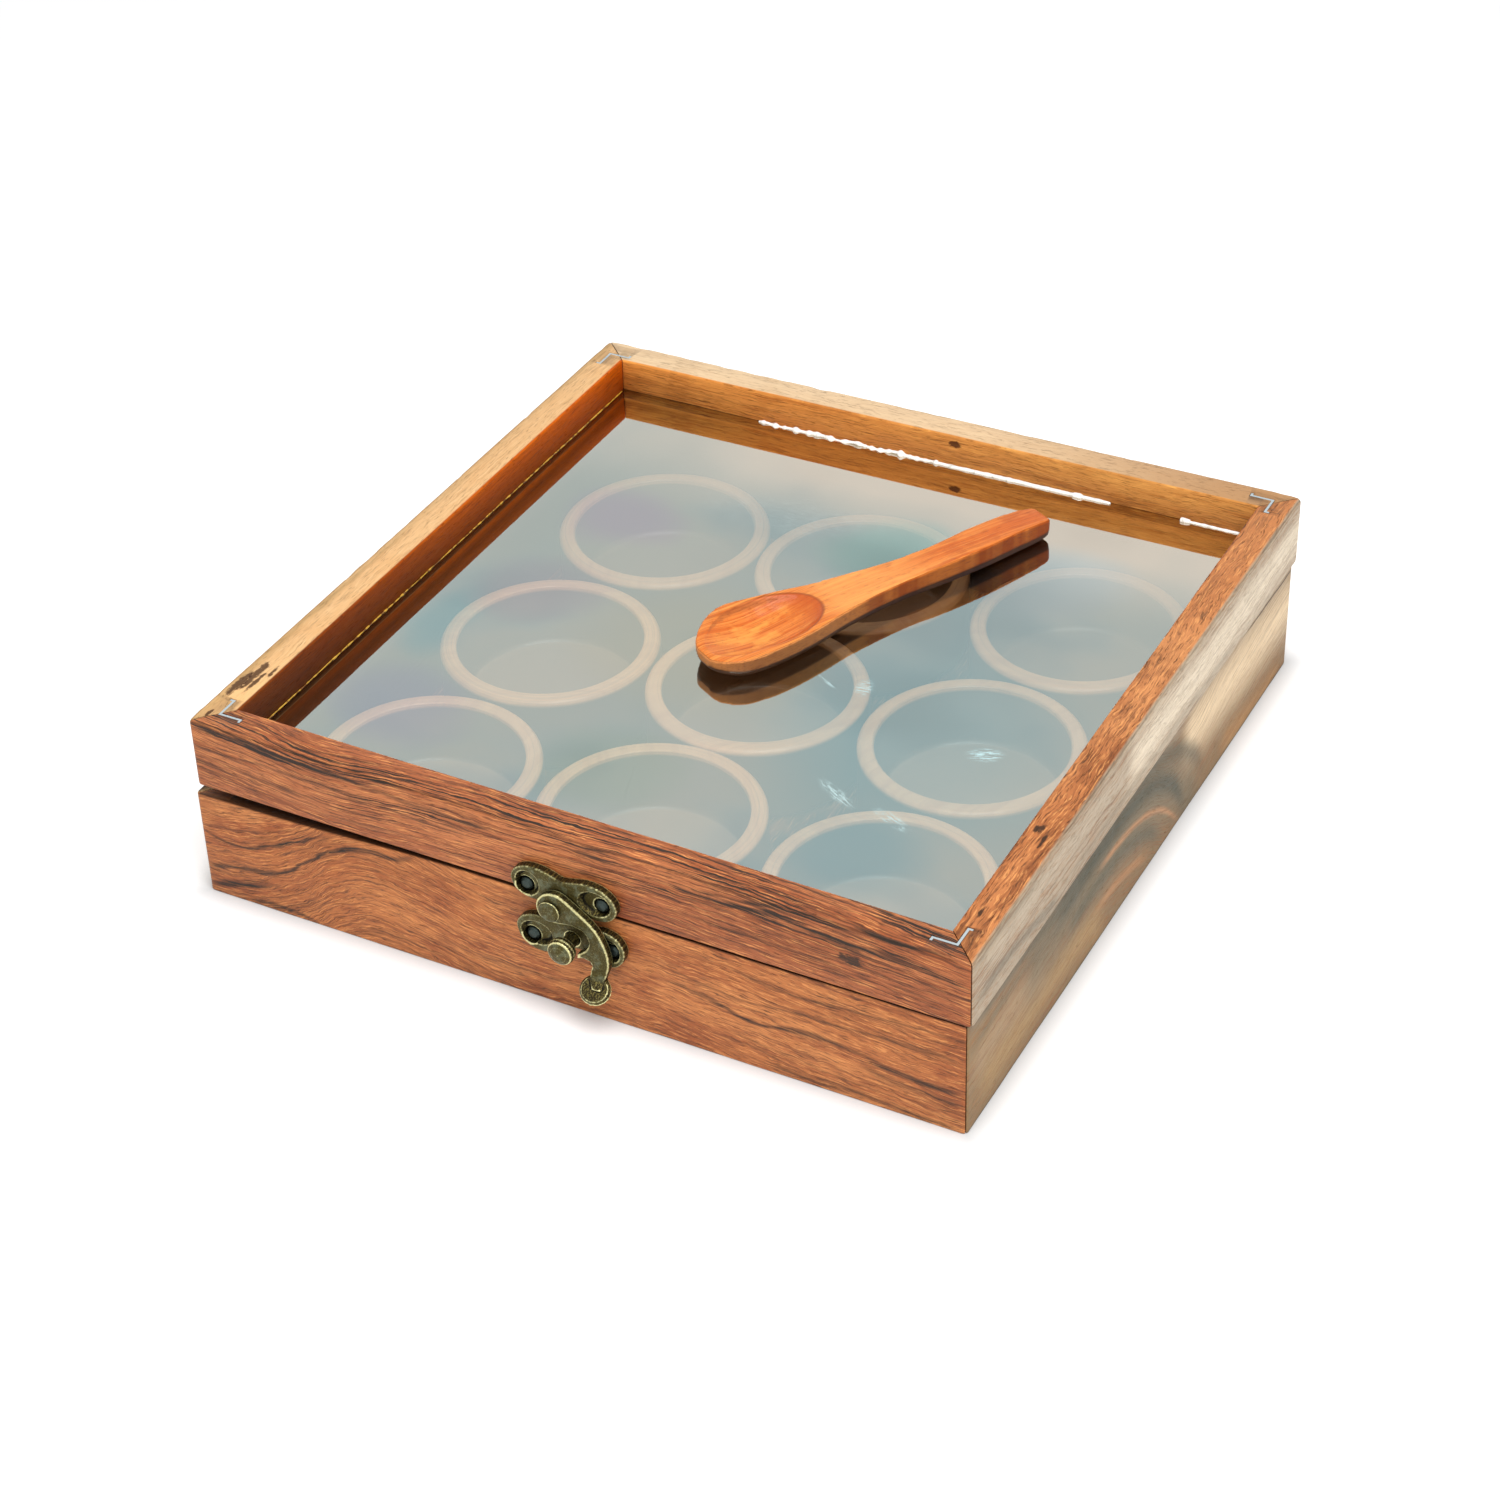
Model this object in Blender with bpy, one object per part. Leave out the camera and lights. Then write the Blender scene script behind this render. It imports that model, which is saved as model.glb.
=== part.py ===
"""Square wooden box with nine turned cups, a glazed lid and a swing hook latch.

Units are metres and +Z is up. The front of the box faces -Y, and the origin is
the centre of the underside. The lid is modelled shut.
"""

import math

import bmesh
import bpy
from mathutils import Matrix, Vector

MM = 0.001

# The case: four mitred walls, a lid of the same plan, and the split between them
OUTER = 230 * MM
HEIGHT = 56 * MM
SPLIT = 36 * MM
WALL = 10 * MM
EASE = 0.8 * MM
FINE_EASE = 0.4 * MM
FIT = 0.3 * MM
LID_SHIFT = 1.1 * MM
HALF = OUTER / 2
BASE_TOP = SPLIT - 2 * FIT
LID_LOW = SPLIT + FIT

# The floor lies in a rebate, flush with the walls
FLOOR = 4 * MM
REBATE = 5 * MM

# The pane is let into a groove of the lid's rails
PANE = 3 * MM
PANE_TOP = 45.5 * MM
GROOVE = 3 * MM
PANE_CELLS = 4

# The lid has wound: its front left and back right corners stand higher than the
# other two, by this much on the top and the pane, and on the lower edge
TOP_WIND = 2.3 * MM
EDGE_WIND = 1.1 * MM

# The walls' top edge is planed away towards the front left corner
CORNER_DROP = 1.9 * MM
DROP_STARTS = -30 * MM
DROP_ENDS = -100 * MM
DROP_STEPS = 3

# The upright corners are sanded round after the mitres are glued
CORNER_R = 1.5 * MM
CORNER_STEPS = 6

# Each side's outward direction and the direction that its board runs in
SIDES = {
    "front": (Vector((0, -1, 0)), Vector((1, 0, 0))),
    "right": (Vector((1, 0, 0)), Vector((0, 1, 0))),
    "back": (Vector((0, 1, 0)), Vector((-1, 0, 0))),
    "left": (Vector((-1, 0, 0)), Vector((0, -1, 0))),
}

# V nails across the mitres: where those of the lid were set by hand, and how far
# from both outer faces those of the walls are
CORNERS = {"front_left": (-1, -1), "front_right": (1, -1), "back_right": (1, 1), "back_left": (-1, 1)}
LID_NAIL_BENDS = {
    "front_left": (-107.6 * MM, -108.8 * MM),
    "front_right": (109.4 * MM, -109.4 * MM),
    "back_right": (109.0 * MM, 110.0 * MM),
    "back_left": (-109.5 * MM, 107.5 * MM),
}
BASE_NAIL_INSET = 2.6 * MM
NAIL_ARM = 7 * MM
NAIL_TURN = 1.2 * MM
NAIL_THICK = 0.7 * MM
NAIL_DEPTH = 6 * MM
NAIL_ROOM = 0.2 * MM
NAIL_SUNK = 0.1 * MM

# Butt hinges: the barrel lies in the V of the two bevelled back edges, and the
# bevels are also the stop of the open lid
HINGE_INSET = 2 * MM
HINGE_X = 70 * MM
HINGE_LENGTH = 25 * MM
LEAF = 0.8 * MM
LEAF_REACH = 7 * MM
LEAF_LIFT = 0.2 * MM
BARREL_R = 1.9 * MM
PIN_R = 0.8 * MM
PIN_ROOM = 0.25 * MM
KNUCKLES = 5
LID_BEVEL = math.radians(62)
BASE_BEVEL = math.radians(52)
SCREW_X = 8 * MM
SCREW_Y = -4.4 * MM
SCREW_HEAD_R = 1.8 * MM
SCREW_R = 1.0 * MM
SCREW_LONG = 5 * MM

# Cups: turned bowls with a thick rim, where each of them stands
CUP_R = 32.2 * MM
CUP_BORE_R = 27.3 * MM
CUP_HIGH = 24.7 * MM
CUP_FLOOR = 5.7 * MM
CUP_FILLET = 5 * MM
CUP_PLACES = {
    "cup_back_left": (-66.9 * MM, 62.6 * MM),
    "cup_back_middle": (-2.1 * MM, 66.6 * MM),
    "cup_back_right": (68.1 * MM, 66.9 * MM),
    "cup_middle_left": (-68.4 * MM, -4.1 * MM),
    "cup_centre": (-3.2 * MM, 0.9 * MM),
    "cup_middle_right": (63.6 * MM, 1.2 * MM),
    "cup_front_left": (-69.3 * MM, -70.3 * MM),
    "cup_front_middle": (-2.4 * MM, -63.9 * MM),
    "cup_front_right": (67.2 * MM, -65.2 * MM),
}

# Latch, in the plane of the front: across, up and out of the wood
RIVET_AT = (-0.2 * MM, 36.4 * MM)
POST_AT = (4.4 * MM, 26.9 * MM)
UPPER_NAILS = ((-9.2 * MM, 39.5 * MM), (13.1 * MM, 39.6 * MM))
LOWER_NAILS = ((-8.4 * MM, 23.2 * MM), (15.6 * MM, 25.4 * MM))
PLATE_LOW = FIT
PLATE_HIGH = 3.0 * MM
DISH_FLOOR = 1.5 * MM
COUNTERBORE = 0.7 * MM
HOOK_LOW = 3.3 * MM
HOOK_HIGH = 5.5 * MM
RIVET_R = 1.4 * MM
RIVET_HEAD_R = 3.1 * MM
POST_R = 2.0 * MM
KNOB_R = 3.9 * MM
KNOB_HIGH = 10.8 * MM
TAB_AT = (13.0 * MM, 16.0 * MM, 7.3 * MM)
TAB_R = 4.7 * MM
TAB_TILT = math.radians(-48)
# The stem's end curls out of the hook's plane to the tab: its heights, and how far it goes
CURL_HEIGHTS = (20.5 * MM, 18.8 * MM, 17.1 * MM, 15.4 * MM)
CURL_ENDS = 13.6 * MM
CURL = (2.2 * MM, 3.2 * MM, 3.4 * MM)

# Outlines of the castings in millimetres, across and up, clockwise from the left
UPPER_PLATE = (
    (-13.2, 41.2), (-12.2, 44.2), (-9.3, 46.1), (-5.2, 46.5), (-1.2, 45.6), (1.8, 44.6), (5.2, 45.3),
    (9.5, 46.1), (14.2, 45.2), (17.4, 42.4), (17.9, 39.0), (15.6, 36.1), (11.6, 35.2), (7.2, 35.9),
    (3.8, 33.8), (-0.2, 32.2), (-3.8, 33.8), (-5.4, 36.1), (-8.4, 36.2), (-11.8, 37.9),
)
LOWER_PLATE = (
    (-12.6, 25.6), (-11.4, 28.6), (-8.4, 30.4), (-4.2, 30.9), (0.5, 30.8), (4.9, 31.5), (9.5, 31.3),
    (13.5, 32.0), (17.4, 30.8), (19.6, 27.4), (18.9, 23.6), (16.2, 21.0), (12.6, 21.2), (9.4, 23.1),
    (6.3, 23.8), (3.3, 22.8), (0.4, 20.7), (-3.2, 19.4), (-7.6, 19.3), (-11.2, 21.6),
)
HOOK_BACK = (
    (-1.5, 32.3), (-3.6, 33.6), (-4.5, 36.4), (-3.9, 38.9), (-1.9, 41.1), (0.8, 41.9), (3.4, 41.3),
    (8.2, 38.0), (13.0, 33.9), (15.9, 27.8), (16.1, 22.0), (12.9, 13.8),
)
HOOK_STEM = ((10.3, 13.6), (10.4, 18.4), (11.3, 22.0))
HOOK_TIP = ((10.6, 23.1), (8.8, 23.5), (6.9, 22.9))
HOOK_THROAT = (
    (7.0, 24.4), (8.6, 25.5), (10.2, 27.5), (10.7, 29.7), (9.5, 32.2), (7.8, 32.9), (5.3, 33.2), (2.6, 32.7),
)

# Dishes sunk round the nail holes: centre across and up, half width, half height
UPPER_DISHES = ((-8.2, 41.0, 3.6, 3.9), (11.6, 40.6, 4.9, 3.9))
LOWER_DISHES = ((-6.4, 25.0, 4.9, 3.8), (15.3, 26.4, 3.1, 3.8))

# Spoon: the middle of the bowl's tip on the pane, and the way the handle points
SPOON_TIP = (-13.35 * MM, -19.12 * MM)
SPOON_TURN = math.radians(60.54)
# Along it: run, half width, sideways bow, rim height, keel height
SPOON_SECTIONS = (
    (0.0, 3.0, -7.4, 6.4, 3.4),
    (0.8, 5.4, -7.3, 7.0, 2.7),
    (3.0, 8.2, -7.2, 7.4, 1.9),
    (6.5, 11.0, -6.7, 7.6, 1.1),
    (11.0, 13.0, -5.6, 7.7, 0.6),
    (17.0, 13.7, -5.0, 7.8, 0.3),
    (24.0, 12.8, -5.4, 7.9, 0.3),
    (33.0, 11.1, -5.6, 8.0, 0.3),
    (39.0, 9.6, -5.7, 8.0, 0.4),
    (45.0, 8.3, -5.8, 8.0, 0.5),
    (54.0, 6.9, -5.9, 8.1, 0.6),
    (66.0, 5.6, -6.3, 8.2, 0.7),
    (80.0, 5.2, -6.8, 8.4, 0.6),
    (94.0, 5.6, -5.9, 8.5, 0.4),
    (106.0, 5.1, -5.2, 8.3, 0.3),
    (113.0, 4.7, -5.0, 7.9, 0.4),
    (117.4, 4.0, -5.1, 7.4, 0.9),
    (118.6, 3.0, -5.2, 6.6, 1.9),
)
# The oval hollow of its bowl: middle and half length along it, half width, depth
HOLLOW_MIDDLE = 20.5 * MM
HOLLOW_LONG = 19.0 * MM
HOLLOW_WIDE = 11.6 * MM
HOLLOW_DEEP = 4.8 * MM
# Runs of the two sections that it rests on
SPOON_RESTS = (24 * MM, 106 * MM)

# Colours as they look (0 to 255), roughness, metallic
FINISHES = {
    "red_wood": ((176, 104, 74), 0.5, 0.0),
    "pale_wood": ((205, 160, 115), 0.5, 0.0),
    "floor_board": ((120, 72, 45), 0.6, 0.0),
    "cup_wood": ((196, 176, 156), 0.55, 0.0),
    "spoon_wood": ((205, 105, 50), 0.35, 0.0),
    "pane_glass": ((200, 215, 218), 0.05, 0.0),
    "antique_brass": ((95, 88, 50), 0.4, 0.9),
    "hinge_brass": ((150, 125, 70), 0.35, 0.9),
    "steel": ((150, 156, 160), 0.35, 0.9),
}


def clear_scene():
    """Remove what the start-up file holds."""
    for old in list(bpy.data.objects):
        bpy.data.objects.remove(old, do_unlink=True)


def linear(channel):
    """A colour channel from 0 to 255 as a linear value."""
    value = channel / 255
    return value / 12.92 if value <= 0.04045 else ((value + 0.055) / 1.055) ** 2.4


def finish(piece_name, finish_name):
    """A material of one piece in one of the named finishes."""
    colour, roughness, metallic = FINISHES[finish_name]
    material = bpy.data.materials.new(piece_name + "_" + finish_name)
    material.use_nodes = True
    shader = material.node_tree.nodes["Principled BSDF"]
    shader.inputs["Base Color"].default_value = [linear(c) for c in colour] + [1.0]
    shader.inputs["Roughness"].default_value = roughness
    shader.inputs["Metallic"].default_value = metallic
    return material


def origin_of(item):
    """Where an object's origin is in the box's frame."""
    return item.location + (origin_of(item.parent) if item.parent else Vector())


def pivot(name, at, parent=None):
    """An empty on a joint's axis, which carries the pieces that turn about it."""
    empty = bpy.data.objects.new(name, None)
    empty.empty_display_size = 0.01
    empty.parent = parent
    empty.location = Vector(at) - (origin_of(parent) if parent else Vector())
    bpy.context.collection.objects.link(empty)
    return empty


def new_object(name, bm, at=(0, 0, 0), parent=None, turn=(0, 0, 0)):
    """Turn a bmesh into an object whose origin is at a point of the box's frame."""
    bmesh.ops.remove_doubles(bm, verts=bm.verts, dist=0.000001)
    bmesh.ops.recalc_face_normals(bm, faces=bm.faces)
    mesh = bpy.data.meshes.new(name)
    bm.to_mesh(mesh)
    bm.free()
    item = bpy.data.objects.new(name, mesh)
    item.parent = parent
    item.location = Vector(at) - (origin_of(parent) if parent else Vector())
    item.rotation_euler = turn
    bpy.context.collection.objects.link(item)
    return item


def piece(name, bm, finish_name, at=(0, 0, 0), parent=None, turn=(0, 0, 0), smooth=False):
    """A named piece with its own material."""
    item = new_object(name, bm, at, parent, turn)
    item.data.materials.append(finish(name, finish_name))
    if smooth:
        item.data.shade_smooth()
        item.data.set_sharp_from_angle(angle=math.radians(35))
    return item


def cutter(name, bm, at=(0, 0, 0), turn=(0, 0, 0)):
    """A guide solid that only takes material away."""
    item = new_object(name, bm, at, turn=turn)
    item.hide_render = True
    item.display_type = "WIRE"
    return item


def combine(target, tool, operation="DIFFERENCE"):
    """Cut a tool out of a target, or join it on."""
    modifier = target.modifiers.new(tool.name, "BOOLEAN")
    modifier.operation = operation
    modifier.solver = "EXACT"
    modifier.object = tool


def loft(bm, rings):
    """Skin closed rings of equal length, one after another, and cap both ends."""
    loops = [[bm.verts.new(point) for point in ring] for ring in rings]
    for near, far in zip(loops, loops[1:]):
        for i in range(len(near)):
            j = (i + 1) % len(near)
            bm.faces.new((near[i], near[j], far[j], far[i]))
    bm.faces.new(list(reversed(loops[0])))
    bm.faces.new(loops[-1])


def block(bm, low, high):
    """A rectangular solid between two corners."""
    rings = []
    for z in (low[2], high[2]):
        rings.append([(low[0], low[1], z), (high[0], low[1], z), (high[0], high[1], z), (low[0], high[1], z)])
    loft(bm, rings)


def turned(bm, profile, segments, at=(0, 0, 0)):
    """Spin a profile of radii and heights, which starts and ends on the axis."""
    verts = [bm.verts.new((at[0] + radius, at[1], at[2] + height)) for radius, height in profile]
    edges = [bm.edges.new(pair) for pair in zip(verts, verts[1:])]
    bmesh.ops.spin(
        bm,
        geom=verts + edges,
        cent=at,
        axis=(0, 0, 1),
        angle=math.tau,
        steps=segments,
        use_merge=True,
    )


def prism_along_x(bm, section, start, end):
    """A section in the YZ plane drawn out along X."""
    loft(bm, [[(x, y, z) for y, z in section] for x in (start, end)])


def disc(radius, segments):
    """A round section in the YZ plane."""
    angles = [math.tau * i / segments for i in range(segments)]
    return [(radius * math.cos(a), radius * math.sin(a)) for a in angles]


def curve_between(points, i, t, closed):
    """A point of a smooth curve through a list of points, after point i."""
    count = len(points)
    picks = []
    for k in (i - 1, i, i + 1, i + 2):
        picks.append(points[k % count] if closed else points[min(max(k, 0), count - 1)])
    result = []
    for a, b, c, d in zip(*picks):
        bend = (2 * a - 5 * b + 4 * c - d) * t + (3 * b - 3 * c + d - a) * t * t
        result.append(b + 0.5 * t * (c - a + bend))
    return result


def smooth_loop(points, steps):
    """A closed smooth outline through points in millimetres."""
    outline = []
    for i in range(len(points)):
        for step in range(steps):
            outline.append([MM * v for v in curve_between(points, i, step / steps, True)])
    return outline


def smooth_run(points, steps):
    """An open smooth stretch of outline through points in millimetres."""
    run = []
    for i in range(len(points) - 1):
        for step in range(steps):
            run.append([MM * v for v in curve_between(points, i, step / steps, False)])
    run.append([MM * v for v in points[-1]])
    return run


def level(x, y):
    """How far an edge that has stayed true has moved at a point."""
    return 0


def top_wind(x, y):
    """How far the lid's top and pane have lifted at a point."""
    return TOP_WIND * (1 + x * y / HALF ** 2) / 2


def edge_wind(x, y):
    """How far the lid's lower edge has lifted at a point, or dropped."""
    return EDGE_WIND * x * y / HALF ** 2 / 2


def planed(x, y):
    """How far the walls' top edge lies below its level at a point."""
    drop = CORNER_DROP
    for v in (x, y):
        t = min(max((v - DROP_STARTS) / (DROP_ENDS - DROP_STARTS), 0), 1)
        drop *= t * t * (3 - 2 * t)
    return -drop


def mitred_board(name, side, profile, stations, centre_x, finish_name, parent=None):
    """A board of one side, whose ends are mitred and whose edges follow their own lines."""
    outward, along = SIDES[side]
    mitre_gap = FIT / math.sqrt(2)
    at = origin_of(parent) if parent else Vector()
    rings = []
    for station in ["first"] + stations + ["last"]:
        ring = []
        for depth, z, line in profile:
            reach = HALF - depth - mitre_gap
            run = {"first": -reach, "last": reach}.get(station, station)
            point = outward * (HALF - depth) + along * run
            ring.append(point + Vector((centre_x, 0, z + line(point.x, point.y))) - at)
        rings.append(ring)
    bm = bmesh.new()
    loft(bm, rings)
    wound = [face for face in bm.faces if len(face.verts) == 4]
    bmesh.ops.triangulate(bm, faces=wound)
    return piece(name, bm, finish_name, at=at, parent=parent)


def base_profile():
    """Section of a wall: distance in from its outer face, height, and the line it follows."""
    return [
        (FINE_EASE, 0, level),
        (0, FINE_EASE, level),
        (0, BASE_TOP - FINE_EASE, planed),
        (FINE_EASE, BASE_TOP, planed),
        (WALL, BASE_TOP, planed),
        (WALL, FLOOR + FIT, level),
        (REBATE, FLOOR + FIT, level),
        (REBATE, 0, level),
    ]


def lid_profile():
    """Section of a lid rail with its groove for the pane."""
    return [
        (FINE_EASE, LID_LOW, edge_wind),
        (0, LID_LOW + FINE_EASE, edge_wind),
        (0, HEIGHT - EASE, top_wind),
        (EASE, HEIGHT, top_wind),
        (WALL - FINE_EASE, HEIGHT, top_wind),
        (WALL, HEIGHT - FINE_EASE, top_wind),
        (WALL, PANE_TOP + FIT, top_wind),
        (WALL - GROOVE, PANE_TOP + FIT, top_wind),
        (WALL - GROOVE, PANE_TOP - PANE - FIT, top_wind),
        (WALL, PANE_TOP - PANE - FIT, top_wind),
        (WALL, LID_LOW, edge_wind),
    ]


def planing_stations(side):
    """Runs along one wall between which its planed edge bends."""
    if side not in ("front", "left"):
        return []
    sign = 1 if side == "front" else -1
    step = (DROP_ENDS - DROP_STARTS) / DROP_STEPS
    return sorted(sign * (DROP_STARTS + step * i) for i in range(DROP_STEPS + 1))


def round_corners(boards, centre_x, name):
    """Take the sharp upright corners off a mitred frame."""
    bm = bmesh.new()
    start = HALF - CORNER_R
    beyond = HALF + CORNER_R
    arc = [math.pi / 2 * i / CORNER_STEPS for i in range(CORNER_STEPS + 1)]
    section = [(beyond, beyond), (beyond, start)]
    section += [(start + CORNER_R * math.cos(a), start + CORNER_R * math.sin(a)) for a in arc]
    section += [(start, beyond)]
    for sx, sy in ((-1, -1), (1, -1), (1, 1), (-1, 1)):
        rings = []
        for z in (-HEIGHT, 2 * HEIGHT):
            rings.append([(centre_x + sx * u, sy * v, z) for u, v in section])
        loft(bm, rings)
    sanding = cutter(name, bm)
    for board in boards:
        combine(board, sanding)


def floor_board():
    """The thin floor with its sharp edges taken off."""
    half = HALF - REBATE - FIT
    levels = (
        (half - FINE_EASE, 0),
        (half, FINE_EASE),
        (half, FLOOR - FINE_EASE),
        (half - FINE_EASE, FLOOR),
    )
    bm = bmesh.new()
    loft(bm, [[(sx * r, sy * r, z) for sx, sy in ((-1, -1), (1, -1), (1, 1), (-1, 1))] for r, z in levels])
    return piece("bottom_board", bm, "floor_board")


def pane(lid_axis):
    """The clear sheet, wound with the rails that hold it."""
    half = HALF - WALL + GROOVE - FIT
    steps = [half * (2 * i / PANE_CELLS - 1) for i in range(PANE_CELLS + 1)]
    at = origin_of(lid_axis)
    bm = bmesh.new()
    grid = {}
    for z in (PANE_TOP - PANE, PANE_TOP):
        for x in steps:
            for y in steps:
                point = Vector((LID_SHIFT + x, y, z + top_wind(x, y)))
                grid[x, y, z] = bm.verts.new(point - at)
        for x0, x1 in zip(steps, steps[1:]):
            for y0, y1 in zip(steps, steps[1:]):
                bm.faces.new([grid[x, y, z] for x, y in ((x0, y0), (x1, y0), (x1, y1), (x0, y1))])
    open_edges = [edge for edge in bm.edges if edge.is_boundary]
    bmesh.ops.bridge_loops(bm, edges=open_edges)
    bmesh.ops.triangulate(bm, faces=bm.faces)
    return piece("glass_pane", bm, "pane_glass", at=at, parent=lid_axis)


def v_nail(bm, corner, bend, spread, low, high):
    """One bent strip across a mitre with turned ends, its bend towards the outer corner."""
    sx, sy = corner
    near = NAIL_THICK / 2 + spread
    arm = NAIL_ARM + spread
    turn = arm - 2 * near
    tip = NAIL_TURN + spread
    one_arm = [(near, -turn), (tip, -turn), (tip, -arm), (-near, -arm)]
    section = [(near, near)] + one_arm + [(-near, -near)] + [(v, u) for u, v in reversed(one_arm)]
    rings = []
    for z in (low, high):
        rings.append([(bend[0] + sx * u, bend[1] + sy * v, z) for u, v in section])
    loft(bm, rings)


def corner_nails(name, boards, bends, parent=None):
    """The four V nails of one frame, driven from above or below, and their slots."""
    slots = bmesh.new()
    at = origin_of(parent) if parent else Vector()
    for place, corner in CORNERS.items():
        bend = bends[place]
        if parent:
            high = HEIGHT + top_wind(bend[0] - LID_SHIFT, bend[1]) - NAIL_SUNK
            low = high - NAIL_DEPTH
            slot = (low - NAIL_ROOM, high + MM)
        else:
            low = NAIL_SUNK
            high = low + NAIL_DEPTH
            slot = (low - MM, high + NAIL_ROOM)
        bm = bmesh.new()
        v_nail(bm, corner, bend, 0, low, high)
        v_nail(slots, corner, bend, NAIL_ROOM, *slot)
        bmesh.ops.translate(bm, verts=bm.verts, vec=-at)
        piece("%s_%s" % (name, place), bm, "steel", at=at, parent=parent)
    room = cutter(name + "_slots", slots)
    for board in boards:
        combine(board, room)


def bevel_section(angle, lift):
    """Wedge between a back edge's bevel and the back, about the hinge axis."""
    plane_low = -FIT / math.sin(angle) - 2 * MM / math.tan(angle)
    out = 2 * HINGE_INSET
    plane_high = (out + FIT / math.sin(angle)) * math.tan(angle)
    return [(plane_low, -2 * MM * lift), (out, -2 * MM * lift), (out, plane_high * lift)]


def bevel_back_edges(boards, angle, lift, name):
    """Plane the bevel of one back edge across the boards that reach it."""
    bm = bmesh.new()
    prism_along_x(bm, bevel_section(angle, lift), -OUTER, OUTER)
    plane = cutter(name, bm, at=(0, HALF - HINGE_INSET, SPLIT))
    for board in boards:
        combine(board, plane)


def knuckle_spans():
    """The stretches of the barrel, one for each knuckle, from left to right."""
    pitch = HINGE_LENGTH / KNUCKLES
    spans = []
    for i in range(KNUCKLES):
        start = -HINGE_LENGTH / 2 + i * pitch
        spans.append((start + FIT / 2, start + pitch - FIT / 2))
    return spans


def barrel_tools(bm, spans, radius, grow=0.0):
    """Round stretches on the hinge axis."""
    for start, end in spans:
        prism_along_x(bm, disc(radius, 20), start - grow, end + grow)


def screw_profile(room):
    """Countersunk screw from its tip up to its flat head at height zero."""
    return [
        (0, -SCREW_LONG - room),
        (SCREW_R + room, -SCREW_LONG + 1.2 * MM - room),
        (SCREW_R + room, -LEAF),
        (SCREW_HEAD_R + room, 0),
        (SCREW_HEAD_R + room, room * 3) if room else (0, 0),
    ] + ([(0, room * 3)] if room else [])


def screw(bm, lift, room, side):
    """A screw of one leaf, driven up into the lid or down into the wall."""
    part = bmesh.new()
    turned(part, screw_profile(room), 12)
    bmesh.ops.remove_doubles(part, verts=part.verts, dist=0.000001)
    if lift > 0:
        bmesh.ops.rotate(part, verts=part.verts, matrix=Matrix.Rotation(math.pi, 3, "X"))
    bmesh.ops.translate(part, verts=part.verts, vec=(side * SCREW_X, SCREW_Y, lift * LEAF_LIFT))
    mesh = bpy.data.meshes.new("screw")
    part.to_mesh(mesh)
    part.free()
    bm.from_mesh(mesh)
    bpy.data.meshes.remove(mesh)


def screw_room(name, centre, lift):
    """The countersunk holes of both screws of a leaf."""
    holes = bmesh.new()
    for side in (-1, 1):
        screw(holes, lift, FIT, side)
    return cutter(name, holes, at=centre)


def hinge_leaf(name, centre, lift, own, other, parent):
    """One leaf: a plate with its own knuckles, cleared for the other leaf's."""
    bm = bmesh.new()
    low, high = sorted((lift * LEAF_LIFT, lift * (LEAF_LIFT + LEAF)))
    block(bm, (-HINGE_LENGTH / 2, -LEAF_REACH, low), (HINGE_LENGTH / 2, 0, high))
    leaf = piece(name, bm, "hinge_brass", at=centre, parent=parent, smooth=True)
    knuckles = bmesh.new()
    barrel_tools(knuckles, own, BARREL_R)
    combine(leaf, cutter(name + "_knuckles", knuckles, at=centre), "UNION")
    gaps = bmesh.new()
    barrel_tools(gaps, other, BARREL_R + FIT, grow=FIT)
    combine(leaf, cutter(name + "_gaps", gaps, at=centre))
    bore = bmesh.new()
    barrel_tools(bore, [(-HINGE_LENGTH, HINGE_LENGTH)], PIN_R + PIN_ROOM)
    combine(leaf, cutter(name + "_bore", bore, at=centre))
    combine(leaf, screw_room(name + "_holes", centre, lift))
    return leaf


def hinges(lid_axis, lid_rail, base_wall):
    """Two butt hinges, their pins and screws, and their seats in the wood."""
    spans = knuckle_spans()
    base_spans = spans[0::2]
    lid_spans = spans[1::2]
    for side, x in (("left", -HINGE_X), ("right", HINGE_X)):
        centre = Vector((x, HALF - HINGE_INSET, SPLIT))
        hinge_leaf("hinge_%s_base_leaf" % side, centre, -1, base_spans, lid_spans, None)
        hinge_leaf("hinge_%s_lid_leaf" % side, centre, 1, lid_spans, base_spans, lid_axis)
        pin = bmesh.new()
        prism_along_x(pin, disc(PIN_R, 12), -HINGE_LENGTH / 2, HINGE_LENGTH / 2)
        piece("hinge_%s_pin" % side, pin, "steel", at=centre, smooth=True)
        seat = bmesh.new()
        rise = LEAF_LIFT + LEAF + FIT
        radius = BARREL_R + FIT
        first = math.pi - math.asin(rise / radius)
        arc = [first - 2 * first * i / 18 for i in range(19)]
        section = [(-LEAF_REACH - FIT, rise)]
        section += [(radius * math.cos(a), radius * math.sin(a)) for a in arc]
        section += [(-LEAF_REACH - FIT, -rise)]
        prism_along_x(seat, section, -HINGE_LENGTH / 2 - FIT, HINGE_LENGTH / 2 + FIT)
        room = cutter("hinge_%s_seat" % side, seat, at=centre)
        for lift, board in ((1, lid_rail), (-1, base_wall)):
            combine(board, room)
            leaf = "hinge_%s_%s" % (side, "lid" if lift > 0 else "base")
            combine(board, screw_room(leaf + "_pilots", centre, lift))
            for end, place in ((-1, "outer"), (1, "inner")):
                driven = bmesh.new()
                screw(driven, lift, 0, end)
                parent = lid_axis if lift > 0 else None
                piece("%s_screw_%s" % (leaf, place), driven, "steel", at=centre, parent=parent, smooth=True)


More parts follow.
